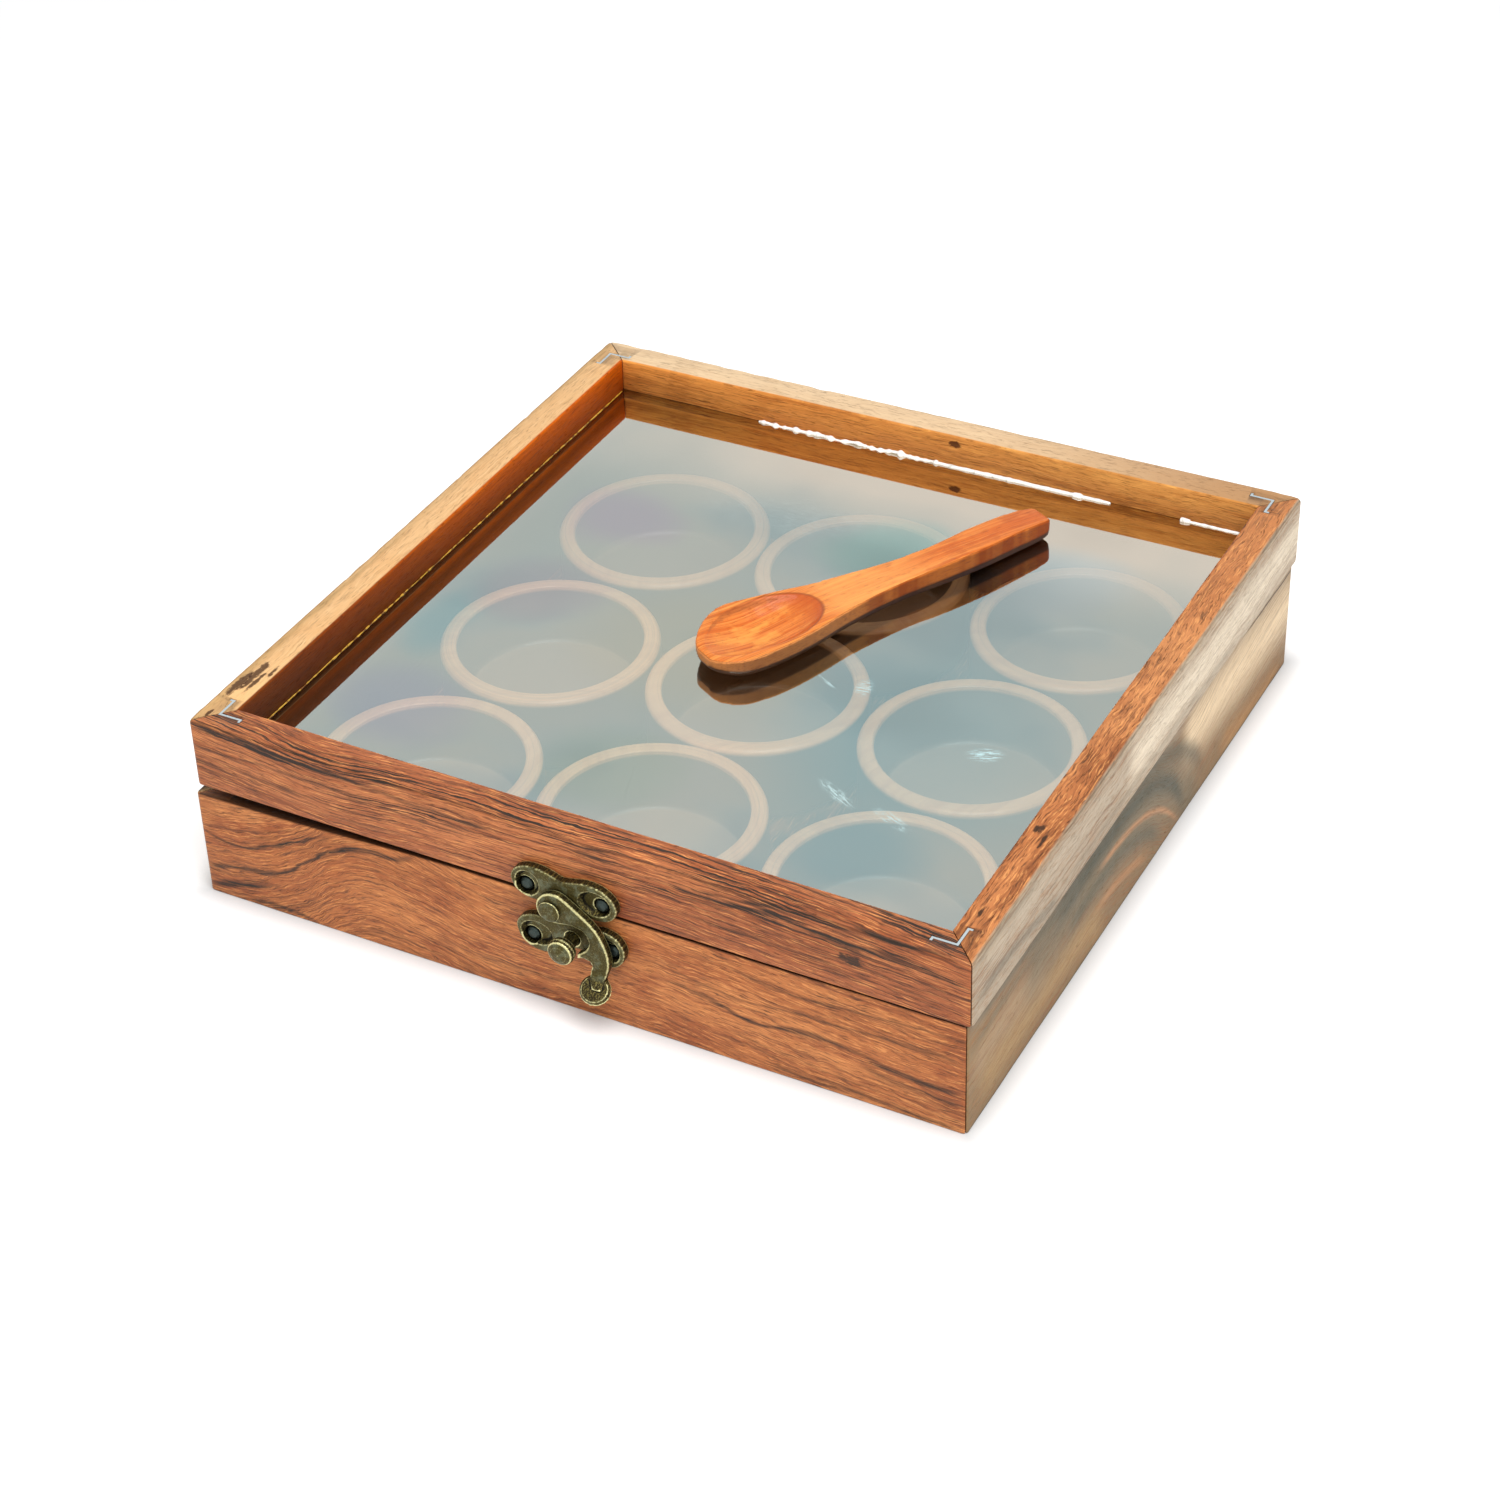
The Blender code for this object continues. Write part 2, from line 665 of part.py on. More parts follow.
def casting(outline, low, high, radius):
    """A flat casting of an outline, with its front edge rounded over."""
    bm = bmesh.new()
    back = bm.faces.new([bm.verts.new((u, v, low)) for u, v in outline])
    lifted = bmesh.ops.extrude_face_region(bm, geom=[back])
    front = [item for item in lifted["geom"] if isinstance(item, bmesh.types.BMFace)][0]
    bmesh.ops.translate(bm, verts=front.verts, vec=(0, 0, high - radius - low))
    bmesh.ops.recalc_face_normals(bm, faces=bm.faces)
    steps = 2
    for step in range(steps):
        before = math.pi / 2 * step / steps
        after = math.pi / 2 * (step + 1) / steps
        inwards = radius * (math.cos(before) - math.cos(after))
        outwards = radius * (math.sin(after) - math.sin(before))
        bmesh.ops.inset_region(bm, faces=[front], thickness=inwards, depth=outwards)
    return bm


def oval_ring(across, up, half_wide, half_high, out, segments=20):
    """A level oval in the plane of the front, in millimetres but for its height."""
    ring = []
    for i in range(segments):
        angle = math.tau * i / segments
        ring.append((MM * (across + half_wide * math.cos(angle)), MM * (up + half_high * math.sin(angle)), out))
    return ring


def latch_plate(name, outline, dishes, nails, bores, parent):
    """A cast plate with dishes round its nail holes, and bores for what turns in it."""
    at = Vector((0, -HALF, 0))
    upright = (math.pi / 2, 0, 0)
    bm = casting(smooth_loop(outline, 3), PLATE_LOW, PLATE_HIGH, 0.6 * MM)
    plate = piece(name, bm, "antique_brass", at=at, parent=parent, turn=upright, smooth=True)
    hollows = bmesh.new()
    for across, up, half_wide, half_high in dishes:
        floor = oval_ring(across, up, 0.8 * half_wide, 0.8 * half_high, DISH_FLOOR)
        mouth = oval_ring(across, up, 1.05 * half_wide, 1.05 * half_high, PLATE_HIGH + 0.5 * MM)
        loft(hollows, [floor, mouth])
    combine(plate, cutter(name + "_dishes", hollows, at=at, turn=upright))
    holes = bmesh.new()
    for across, up in nails:
        profile = ((0, 0), (1.1 * MM, 0), (1.1 * MM, COUNTERBORE), (2.4 * MM, COUNTERBORE), (2.4 * MM, 4 * MM), (0, 4 * MM))
        turned(holes, profile, 16, at=(across, up, 0))
    for (across, up), radius in bores:
        turned(holes, ((0, 0), (radius, 0), (radius, 4 * MM), (0, 4 * MM)), 20, at=(across, up, 0))
    combine(plate, cutter(name + "_holes", holes, at=at, turn=upright))
    return plate


def latch_nails(name, places, board, parent):
    """Domed nails that hold a plate, and their holes in the wood."""
    at = Vector((0, -HALF, 0))
    upright = (math.pi / 2, 0, 0)
    shank = 0.8 * MM
    length = 8 * MM
    head = (
        (0, -length),
        (shank, -length + 1.5 * MM),
        (shank, COUNTERBORE + FIT),
        (1.9 * MM, COUNTERBORE + FIT),
        (1.8 * MM, 1.5 * MM),
        (1.2 * MM, 2.0 * MM),
        (0, 2.2 * MM),
    )
    pilots = bmesh.new()
    for side, (across, up) in zip(("left", "right"), places):
        nail = bmesh.new()
        turned(nail, head, 14, at=(across, up, 0))
        piece("%s_%s" % (name, side), nail, "steel", at=at, parent=parent, turn=upright, smooth=True)
        hole = ((0, -length - FIT), (shank + FIT, -length), (shank + FIT, 1 * MM), (0, 1 * MM))
        turned(pilots, hole, 14, at=(across, up, 0))
    combine(board, cutter(name + "_pilots", pilots, at=at, turn=upright))


def curl_stem(bm):
    """Bend the hook's stem outwards towards its end, where the tab is."""
    for height in CURL_HEIGHTS:
        geom = bm.verts[:] + bm.edges[:] + bm.faces[:]
        bmesh.ops.bisect_plane(bm, geom=geom, plane_co=(0, height, 0), plane_no=(0, 1, 0))
    start = CURL_HEIGHTS[0]
    for vert in bm.verts:
        share = max(0, (start - vert.co.y) / (start - CURL_ENDS))
        vert.co += share ** 1.5 * Vector(CURL)
    bmesh.ops.triangulate(bm, faces=bm.faces)


def latch_hook(hook_axis):
    """The swing hook: a boss on the rivet, a throat for the post and a curled tab."""
    at = origin_of(hook_axis)
    upright = (math.pi / 2, 0, 0)
    outline = smooth_run(HOOK_BACK, 3)
    outline += smooth_run(HOOK_STEM, 2)
    outline += smooth_run(HOOK_TIP, 2)
    outline += smooth_run(HOOK_THROAT, 3)
    bm = casting(outline, HOOK_LOW, HOOK_HIGH, 0.5 * MM)
    curl_stem(bm)
    to_axis = Vector((-RIVET_AT[0], -RIVET_AT[1], 0))
    bmesh.ops.translate(bm, verts=bm.verts, vec=to_axis)
    hook = piece("latch_hook", bm, "antique_brass", at=at, parent=hook_axis, turn=upright, smooth=True)
    tab = bmesh.new()
    half = 0.9 * MM
    round_over = TAB_R - half
    turned(tab, ((0, -half), (round_over, -half), (TAB_R, 0), (round_over, half), (0, half)), 20)
    bmesh.ops.scale(tab, verts=tab.verts, vec=(1, 0.9, 1))
    bmesh.ops.rotate(tab, verts=tab.verts, matrix=Matrix.Rotation(TAB_TILT, 3, "X"))
    bmesh.ops.translate(tab, verts=tab.verts, vec=Vector(TAB_AT) + to_axis)
    combine(hook, cutter("hook_tab", tab, at=at, turn=upright), "UNION")
    bore = bmesh.new()
    radius = RIVET_R + 0.2 * MM
    turned(bore, ((0, 0), (radius, 0), (radius, 9 * MM), (0, 9 * MM)), 20)
    combine(hook, cutter("hook_bore", bore, at=at, turn=upright))
    return hook


def latch(lid_axis, lid_rail, base_wall):
    """Both plates, the rivet, the hook and the post that it swings under."""
    upright = (math.pi / 2, 0, 0)
    at_lid = Vector((0, -HALF, 0))
    hook_axis = pivot("hook_axis", (RIVET_AT[0], -HALF, RIVET_AT[1]), lid_axis)
    latch_plate("latch_upper_plate", UPPER_PLATE, UPPER_DISHES, UPPER_NAILS, ((RIVET_AT, RIVET_R + FIT),), lid_axis)
    latch_plate("latch_lower_plate", LOWER_PLATE, LOWER_DISHES, LOWER_NAILS, ((POST_AT, POST_R + FIT),), None)
    latch_nails("latch_upper_nail", UPPER_NAILS, lid_rail, lid_axis)
    latch_nails("latch_lower_nail", LOWER_NAILS, base_wall, None)
    latch_hook(hook_axis)
    rivet = bmesh.new()
    head = HOOK_HIGH + FIT
    shape = ((0, PLATE_LOW), (RIVET_R, PLATE_LOW), (RIVET_R, head), (RIVET_HEAD_R, head),
             (RIVET_HEAD_R, head + 0.5 * MM), (2.4 * MM, head + 0.9 * MM), (0, head + 1.0 * MM))
    turned(rivet, shape, 20, at=(RIVET_AT[0], RIVET_AT[1], 0))
    piece("latch_rivet", rivet, "antique_brass", at=at_lid, parent=lid_axis, turn=upright, smooth=True)
    post = bmesh.new()
    neck = HOOK_HIGH + FIT
    shape = ((0, PLATE_LOW), (POST_R, PLATE_LOW), (POST_R, neck), (2.9 * MM, neck + 0.7 * MM),
             (3.6 * MM, neck + 1.5 * MM), (KNOB_R, neck + 2.9 * MM), (3.5 * MM, neck + 4.1 * MM),
             (2.3 * MM, neck + 4.7 * MM), (0, KNOB_HIGH))
    turned(post, shape, 24, at=(POST_AT[0], POST_AT[1], 0))
    piece("latch_post", post, "antique_brass", at=at_lid, turn=upright, smooth=True)


def cup_profile():
    """Section of a cup from the middle of its foot to the middle of its floor."""
    rim = 0.9 * MM
    profile = [
        (0, 0),
        (CUP_R - 3.5 * MM, 0),
        (CUP_R - 1.2 * MM, 1.0 * MM),
        (CUP_R, 4.0 * MM),
        (CUP_R, CUP_HIGH - rim),
        (CUP_R - rim, CUP_HIGH),
        (CUP_BORE_R + rim, CUP_HIGH),
        (CUP_BORE_R, CUP_HIGH - rim),
    ]
    foot_r = CUP_BORE_R - 1.0 * MM
    for i in range(4):
        angle = math.pi / 2 * i / 3
        out = foot_r - CUP_FILLET + CUP_FILLET * math.cos(angle)
        profile.append((out, CUP_FLOOR + CUP_FILLET - CUP_FILLET * math.sin(angle)))
    profile.append((0, CUP_FLOOR))
    return profile


def cups():
    """Nine cups standing on the floor of the case."""
    for name, (x, y) in CUP_PLACES.items():
        bm = bmesh.new()
        turned(bm, cup_profile(), 28)
        piece(name, bm, "cup_wood", at=(x, y, FLOOR + FIT), smooth=True)


def spoon_section(run, half, bow, rim, keel):
    """One section of the spoon: rims, hollow, sides and a rounded keel."""
    along = 1 - ((run - HOLLOW_MIDDLE) / HOLLOW_LONG) ** 2
    inside = along > 0
    wide = min(HOLLOW_WIDE * math.sqrt(along), 0.9 * half) if inside else 0.5 * half
    deep = HOLLOW_DEEP * along if inside else 0
    ring = [(half, rim)]
    for share in (1, 0.85, 0.6, 0.3, 0, -0.3, -0.6, -0.85, -1):
        ring.append((wide * share, rim - deep * (1 - share ** 4)))
    ring.append((-half, rim))
    waist = keel + 0.35 * (rim - keel)
    for side, height in ((-0.97, waist), (-0.86, keel + 0.6 * MM), (-0.6, keel)):
        ring.append((half * side, height))
    for side, height in ((0.6, keel), (0.86, keel + 0.6 * MM), (0.97, waist)):
        ring.append((half * side, height))
    return [(run, bow + across, height) for across, height in ring]


def spoon(lid_axis):
    """The carved spoon that lies on the pane."""
    bm = bmesh.new()
    rings = []
    steps = 2
    for i in range(len(SPOON_SECTIONS) - 1):
        for step in range(steps):
            sizes = curve_between(SPOON_SECTIONS, i, step / steps, False)
            rings.append(spoon_section(*[MM * v for v in sizes]))
    rings.append(spoon_section(*[MM * v for v in SPOON_SECTIONS[-1]]))
    loft(bm, rings)
    lifts = []
    for run in SPOON_RESTS:
        x = SPOON_TIP[0] + run * math.cos(SPOON_TURN) - LID_SHIFT
        y = SPOON_TIP[1] + run * math.sin(SPOON_TURN)
        lifts.append(top_wind(x, y))
    slope = (lifts[1] - lifts[0]) / (SPOON_RESTS[1] - SPOON_RESTS[0])
    at = (SPOON_TIP[0], SPOON_TIP[1], PANE_TOP + lifts[0] - slope * SPOON_RESTS[0])
    turn = (0, -math.atan(slope), SPOON_TURN)
    piece("spoon", bm, "spoon_wood", at=at, parent=lid_axis, turn=turn, smooth=True)


def build():
    """Model the whole box with its lid shut."""
    clear_scene()
    lid_axis = pivot("lid_axis", (0, HALF - HINGE_INSET, SPLIT))
    walls = {}
    rails = {}
    for side in SIDES:
        wood = "red_wood" if side in ("front", "right") else "pale_wood"
        wall_name = "base_%s_wall" % side
        rail_name = "lid_%s_rail" % side
        walls[side] = mitred_board(wall_name, side, base_profile(), planing_stations(side), 0, wood)
        rails[side] = mitred_board(rail_name, side, lid_profile(), [], LID_SHIFT, wood, lid_axis)
    round_corners(walls.values(), 0, "base_corner_sanding")
    round_corners(rails.values(), LID_SHIFT, "lid_corner_sanding")
    reach_back = ("back", "left", "right")
    bevel_back_edges([rails[side] for side in reach_back], LID_BEVEL, 1, "lid_bevel")
    bevel_back_edges([walls[side] for side in reach_back], BASE_BEVEL, -1, "base_bevel")
    floor_board()
    pane(lid_axis)
    corner_nails("lid_corner_nail", rails.values(), LID_NAIL_BENDS, lid_axis)
    inset = HALF - BASE_NAIL_INSET
    bends = {place: (sx * inset, sy * inset) for place, (sx, sy) in CORNERS.items()}
    corner_nails("base_corner_nail", walls.values(), bends)
    hinges(lid_axis, rails["back"], walls["back"])
    latch(lid_axis, rails["front"], walls["front"])
    cups()
    spoon(lid_axis)


build()
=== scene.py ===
"""The looks of a small wooden box with nine turned cups under a glazed lid.

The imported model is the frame. Lengths are in metres, and those inside the wood
and metal patterns in millimetres. The front of the box faces -Y.
"""

import math

import bmesh
import bpy
import numpy as np
from bpy.props import FloatProperty, FloatVectorProperty, IntProperty, PointerProperty
from bpy.types import Operator, Panel, PropertyGroup
from mathutils import Matrix, Vector, noise


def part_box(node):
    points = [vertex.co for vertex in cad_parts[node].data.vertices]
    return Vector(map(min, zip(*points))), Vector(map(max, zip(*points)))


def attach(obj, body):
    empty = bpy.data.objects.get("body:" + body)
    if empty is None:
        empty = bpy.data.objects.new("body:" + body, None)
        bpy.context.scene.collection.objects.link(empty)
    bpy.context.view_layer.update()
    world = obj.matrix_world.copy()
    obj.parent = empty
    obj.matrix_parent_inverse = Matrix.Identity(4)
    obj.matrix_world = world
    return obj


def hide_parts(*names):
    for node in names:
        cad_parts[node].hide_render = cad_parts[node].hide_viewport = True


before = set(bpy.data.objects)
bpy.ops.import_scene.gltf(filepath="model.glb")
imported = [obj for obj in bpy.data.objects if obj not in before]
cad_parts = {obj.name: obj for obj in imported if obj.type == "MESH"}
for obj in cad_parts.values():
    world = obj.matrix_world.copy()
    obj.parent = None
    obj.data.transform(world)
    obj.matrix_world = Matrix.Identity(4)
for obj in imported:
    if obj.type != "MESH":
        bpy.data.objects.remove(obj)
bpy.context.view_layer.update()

bl_info = {
    "name": "Glazed compartment box",
    "version": (1, 0, 0),
    "blender": (4, 5, 0),
    "location": "View3D > Sidebar > Box",
    "description": "Dresses the box in its woods, glass and metals",
    "category": "Object",
}

MM = 0.001

# The lid sits a little to the right of the case, and has wound like the frame
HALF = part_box("base_right_wall")[1].x
PANE_LOW, PANE_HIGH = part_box("glass_pane")
LID_X = (PANE_LOW.x + PANE_HIGH.x) / 2
TOP_WIND = 2.3 * MM
EDGE_WIND = 1.1 * MM
LID_LOW = 36.3 * MM
LID_HIGH = 56.0 * MM
BASE_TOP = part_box("base_back_wall")[1].z
FLOOR_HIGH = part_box("bottom_board")[1].z
WALL = 10.0 * MM
WALL_INSIDE = HALF - WALL
REBATE = 5.0 * MM
MITRE_GAP = 0.212 * MM
CORNER_R = 1.5 * MM
WHITE = (1.0, 1.0, 1.0, 1.0)
SIDES = {"front": 0.0, "right": math.pi / 2, "back": math.pi, "left": -math.pi / 2}

# The pane's level where the lid hasn't wound, and its groove
PANE_LEVEL = 45.5 * MM
PANE_THICK = 3.0 * MM
GROOVE = 3.0 * MM
GROOVE_STARTS = 0.29

# Where the walls' top edge was planed down towards the front left corner
CORNER_DROP = 1.9 * MM
DROP_STARTS = -30 * MM
DROP_ENDS = -100 * MM

# The bevelled back edges and the hinges between them
SPLIT = 36.0 * MM
HINGE_INSET = 2.0 * MM
LID_BEVEL = math.radians(62)
BASE_BEVEL = math.radians(52)
BARREL_R = 1.9 * MM
LEAF_RISE = 1.0 * MM

# Room left round what sits in a cut, and round a corner nail
ROOM = 0.3 * MM
NAIL_ROOM = 0.2 * MM

# How close the points of a CAD mesh and of a turned piece are when they are merged
CAD_MERGE = 0.001 * MM
SPIN_MERGE = 0.02 * MM

# The cups: their inside, the walls' height, the floor, and the foot with its hollow and ring
CUP_BORE = 27.3 * MM
CUP_HIGH = 24.7 * MM
CUP_FLOOR = 5.7 * MM
CUP_FILLET = 2.2 * MM
FOOT_HOLLOW = 0.6 * MM
FOOT_RING = 8.0 * MM
FOOT_ROUND = 3.0 * MM

# The spoon's tip and the way its handle points, and its hollow in millimetres from the tip
SPOON_TIP = (-13.35 * MM, -19.12 * MM)
SPOON_TURN = math.radians(60.54)
HOLLOW_AT = (20.5, -5.4)
HOLLOW_HALF = (19.5, 11.8)

# How far hand planing and wear have moved the wood, and how far from an edge or a corner
WAVE = 0.1 * MM
DENT = 0.5 * MM
DENT_REACH = 1.6 * MM
CORNER_REACH = 7.0 * MM

# The share of the lid's wind that the smaller pane takes up
PANE_WIND = 0.87

# Half the length of a board's curves, and the heights they can show, in millimetres
CURVE_END = 120
FLOW_RANGE = 40
PATH_RANGE = 60

# Threads of varnish along the left rail, where it meets the pane:
# start, end, radius, lumpiness
VARNISH = (
    (-104 * MM, -62 * MM, 0.16 * MM, 1.6),
    (-64 * MM, -18 * MM, 0.2 * MM, 1.8),
    (-20 * MM, 40 * MM, 0.16 * MM, 2.0),
    (38 * MM, 104 * MM, 0.2 * MM, 1.4),
)
# Beads of glue along the back rail, in the same terms
GLUE = (
    (-57 * MM, -45 * MM, 0.45 * MM, 3.0),
    (-47 * MM, -20 * MM, 0.5 * MM, 2.4),
    (-21 * MM, 4 * MM, 0.5 * MM, 2.6),
    (2 * MM, 60 * MM, 0.6 * MM, 0.5),
    (48 * MM, 51 * MM, 0.9 * MM, 1.0),
    (82 * MM, 85 * MM, 0.7 * MM, 1.0),
    (83 * MM, 105 * MM, 0.4 * MM, 0.6),
)
BEAD_SIDES = 14
BEAD_RINGS = 110

# Where the camera stands and looks, and its lens
CAMERA_AT = (0.36768, -0.68457, 0.57881)
CAMERA_AZIMUTH = math.radians(28.6177)
CAMERA_ELEVATION = math.radians(36.3132)
CAMERA_ROLL = math.radians(-1.9725)
CAMERA_LENS = 80.61
CAMERA_SENSOR = 36.0


def linear(*channels):
    """A colour as it looks, 0 to 255 in each channel, as the shaders want it."""
    result = []
    for channel in channels:
        value = channel / 255
        result.append(value / 12.92 if value <= 0.04045 else ((value + 0.055) / 1.055) ** 2.4)
    return (*result, 1.0)


class Value:
    """A shader socket that takes part in arithmetic."""

    def __init__(self, tree, socket):
        self.tree = tree
        self.socket = socket

    def math(self, operation, *terms):
        return self.tree.node("ShaderNodeMath", {"operation": operation}, dict(enumerate(terms)))

    def __add__(self, other):
        return self.math("ADD", self, other)

    def __radd__(self, other):
        return self.math("ADD", other, self)

    def __sub__(self, other):
        return self.math("SUBTRACT", self, other)

    def __rsub__(self, other):
        return self.math("SUBTRACT", other, self)

    def __mul__(self, other):
        return self.math("MULTIPLY", self, other)

    def __rmul__(self, other):
        return self.math("MULTIPLY", other, self)

    def __truediv__(self, other):
        return self.math("DIVIDE", self, other)

    def __pow__(self, other):
        return self.math("POWER", self, other)

    def __abs__(self):
        return self.math("ABSOLUTE", self)

    def rising(self, low, high):
        """0 below one value and 1 above another, with a soft step between them."""
        settings = {"interpolation_type": "SMOOTHSTEP"}
        return self.tree.node("ShaderNodeMapRange", settings, {0: self, 1: low, 2: high})

    def bounded(self):
        """The value held between 0 and 1."""
        return self.tree.node("ShaderNodeClamp", {}, {0: self})

    def along(self, points, scale):
        """A smooth curve through points in millimetres, read at this value."""
        stops = [((x + CURVE_END) / (2 * CURVE_END), 0.5 + y / (2 * scale)) for x, y in points]
        place = (self + CURVE_END) / (2 * CURVE_END)
        height = self.tree.node("ShaderNodeFloatCurve", {"curve": stops}, {1: place})
        return (height - 0.5) * (2 * scale)


class Tree:
    """The node tree of one new material or world."""

    def __init__(self, name, holders="materials"):
        self.holder = getattr(bpy.data, holders).new(name)
        self.holder.use_nodes = True
        self.nodes = self.holder.node_tree.nodes
        self.links = self.holder.node_tree.links
        self.nodes.clear()

    def node(self, kind, settings=None, inputs=None, output=0):
        """Make a node: its settings first, then the values or links of its sockets."""
        made = self.nodes.new(kind)
        for name, value in (settings or {}).items():
            if name == "curve":
                self.bend(made, value)
            else:
                setattr(made, name, value)
        for key, value in (inputs or {}).items():
            if isinstance(value, Value):
                self.links.new(value.socket, made.inputs[key])
            else:
                made.inputs[key].default_value = value
        return Value(self, made.outputs[output]) if made.outputs else None

    def bend(self, made, points):
        """Give a curve node its points."""
        curve = made.mapping.curves[0]
        while len(curve.points) < len(points):
            curve.points.new(0.5, 0.5)
        for point, place in zip(curve.points, points):
            point.location = place
        made.mapping.update()

    def place(self):
        """Object coordinates in millimetres, as three values."""
        where = self.node("ShaderNodeTexCoord", output="Object")
        settings = {"operation": "SCALE"}
        scaled = self.node("ShaderNodeVectorMath", settings, {0: where, "Scale": 1 / MM})
        parts = self.node("ShaderNodeSeparateXYZ", {}, {0: scaled})
        return [Value(self, socket) for socket in parts.socket.node.outputs]

    def vector(self, x, y, z):
        """Three values as one vector."""
        return self.node("ShaderNodeCombineXYZ", {}, {0: x, 1: y, 2: z})

    def noise(self, x, y, z, detail=2.0, roughness=0.5):
        """Smooth noise from 0 to 1 whose cells are one unit of its coordinates wide."""
        inputs = {
            "Vector": self.vector(x, y, z),
            "Scale": 1.0,
            "Detail": detail,
            "Roughness": roughness,
        }
        return self.node("ShaderNodeTexNoise", {}, inputs)

    def mix(self, one, other, share, way="MIX"):
        """A colour between two colours."""
        settings = {"data_type": "RGBA", "blend_type": way}
        return self.node("ShaderNodeMix", settings, {0: share, 6: one, 7: other}, output=2)

    def bump(self, height, distance):
        """A normal that follows a height, of which 1 is this many millimetres."""
        return self.node("ShaderNodeBump", {}, {"Height": height, "Distance": distance * MM})

    def attribute(self, name):
        """What a mesh says about each of its points."""
        return self.node("ShaderNodeAttribute", {"attribute_name": name}, output="Fac")

    def surface(self, **inputs):
        """Finish with one Principled shader, whose sockets are named with underscores."""
        sockets = {name.replace("_", " "): value for name, value in inputs.items()}
        shader = self.node("ShaderNodeBsdfPrincipled", {}, sockets)
        return self.close(shader)

    def seen(self):
        """1 for what is looked at, also in a mirror or through glass, and 0 for what lights."""
        kinds = ("Is Camera Ray", "Is Glossy Ray", "Is Transmission Ray")
        straight, mirrored, through = [
            self.node("ShaderNodeLightPath", output=kind) for kind in kinds
        ]
        return (straight + mirrored + through).bounded()

    def close(self, shader, output="ShaderNodeOutputMaterial"):
        """Send a shader to the output, and give back the material or world."""
        self.node(output, {}, {"Surface": shader})
        return self.holder


def turned(x, y, middle, angle):
    """Two coordinates about a point, along a direction and across it."""
    u = x - middle[0]
    v = y - middle[1]
    c = math.cos(angle)
    s = math.sin(angle)
    return u * c + v * s, v * c - u * s


def ellipse(x, y, middle, half):
    """0 in the middle of an ellipse, and 1 on its line."""
    return ((x - middle[0]) / half[0]) ** 2 + ((y - middle[1]) / half[1]) ** 2


def reach(along, points, soft):
    """1 between the ends of a path, with a soft stretch at each end."""
    start = points[0][0]
    end = points[-1][0]
    return along.rising(start, start + soft) * (1 - along.rising(end - soft, end))


# What a board's look says where it differs from the others. Shares run from 0 to 1.
PLAIN = {
    "shift": 0.0,  # how far the board sits to the right, in millimetres
    "flow": (),  # a curve that the grain follows
    "sway": 1.8,  # how far the grain wanders, in millimetres
    "shake": 0.9,  # the same for short ripples
    "curl": 0.14,  # how short the fibres are
    "patches": 0.5,  # share of dark patches
    "band": 0.6,  # share of the growth bands
    "lines": 0.5,  # share of the lines
    "glint": 0.4,  # share of the bright fibres
    "hair": 0.4,  # share of the dark fibres
    "pores": 0.5,  # share of the pores
    "streaks": (),  # zones of dark threads: low, high, share
    "veins": (),  # single dark lines: path, thickness, share
    "calm": 0.0,  # how far the outside has evened out
    "knots": (),  # torn dark spots: along, height, half length, half height, whether inside
    "thread": 1.0,  # how much of the grain the faded outer face shows
    "figures_and_shade": (),  # broad marks on the outer face, some of them painted shade: colour, path, thickness, share
    "foot": 0.4,  # how dark the painted shade on the inner face along the pane is
    "relief": 0.12,  # depth of the grain, in millimetres
    "shine": 0.25,  # how much of the light the surface mirrors
}


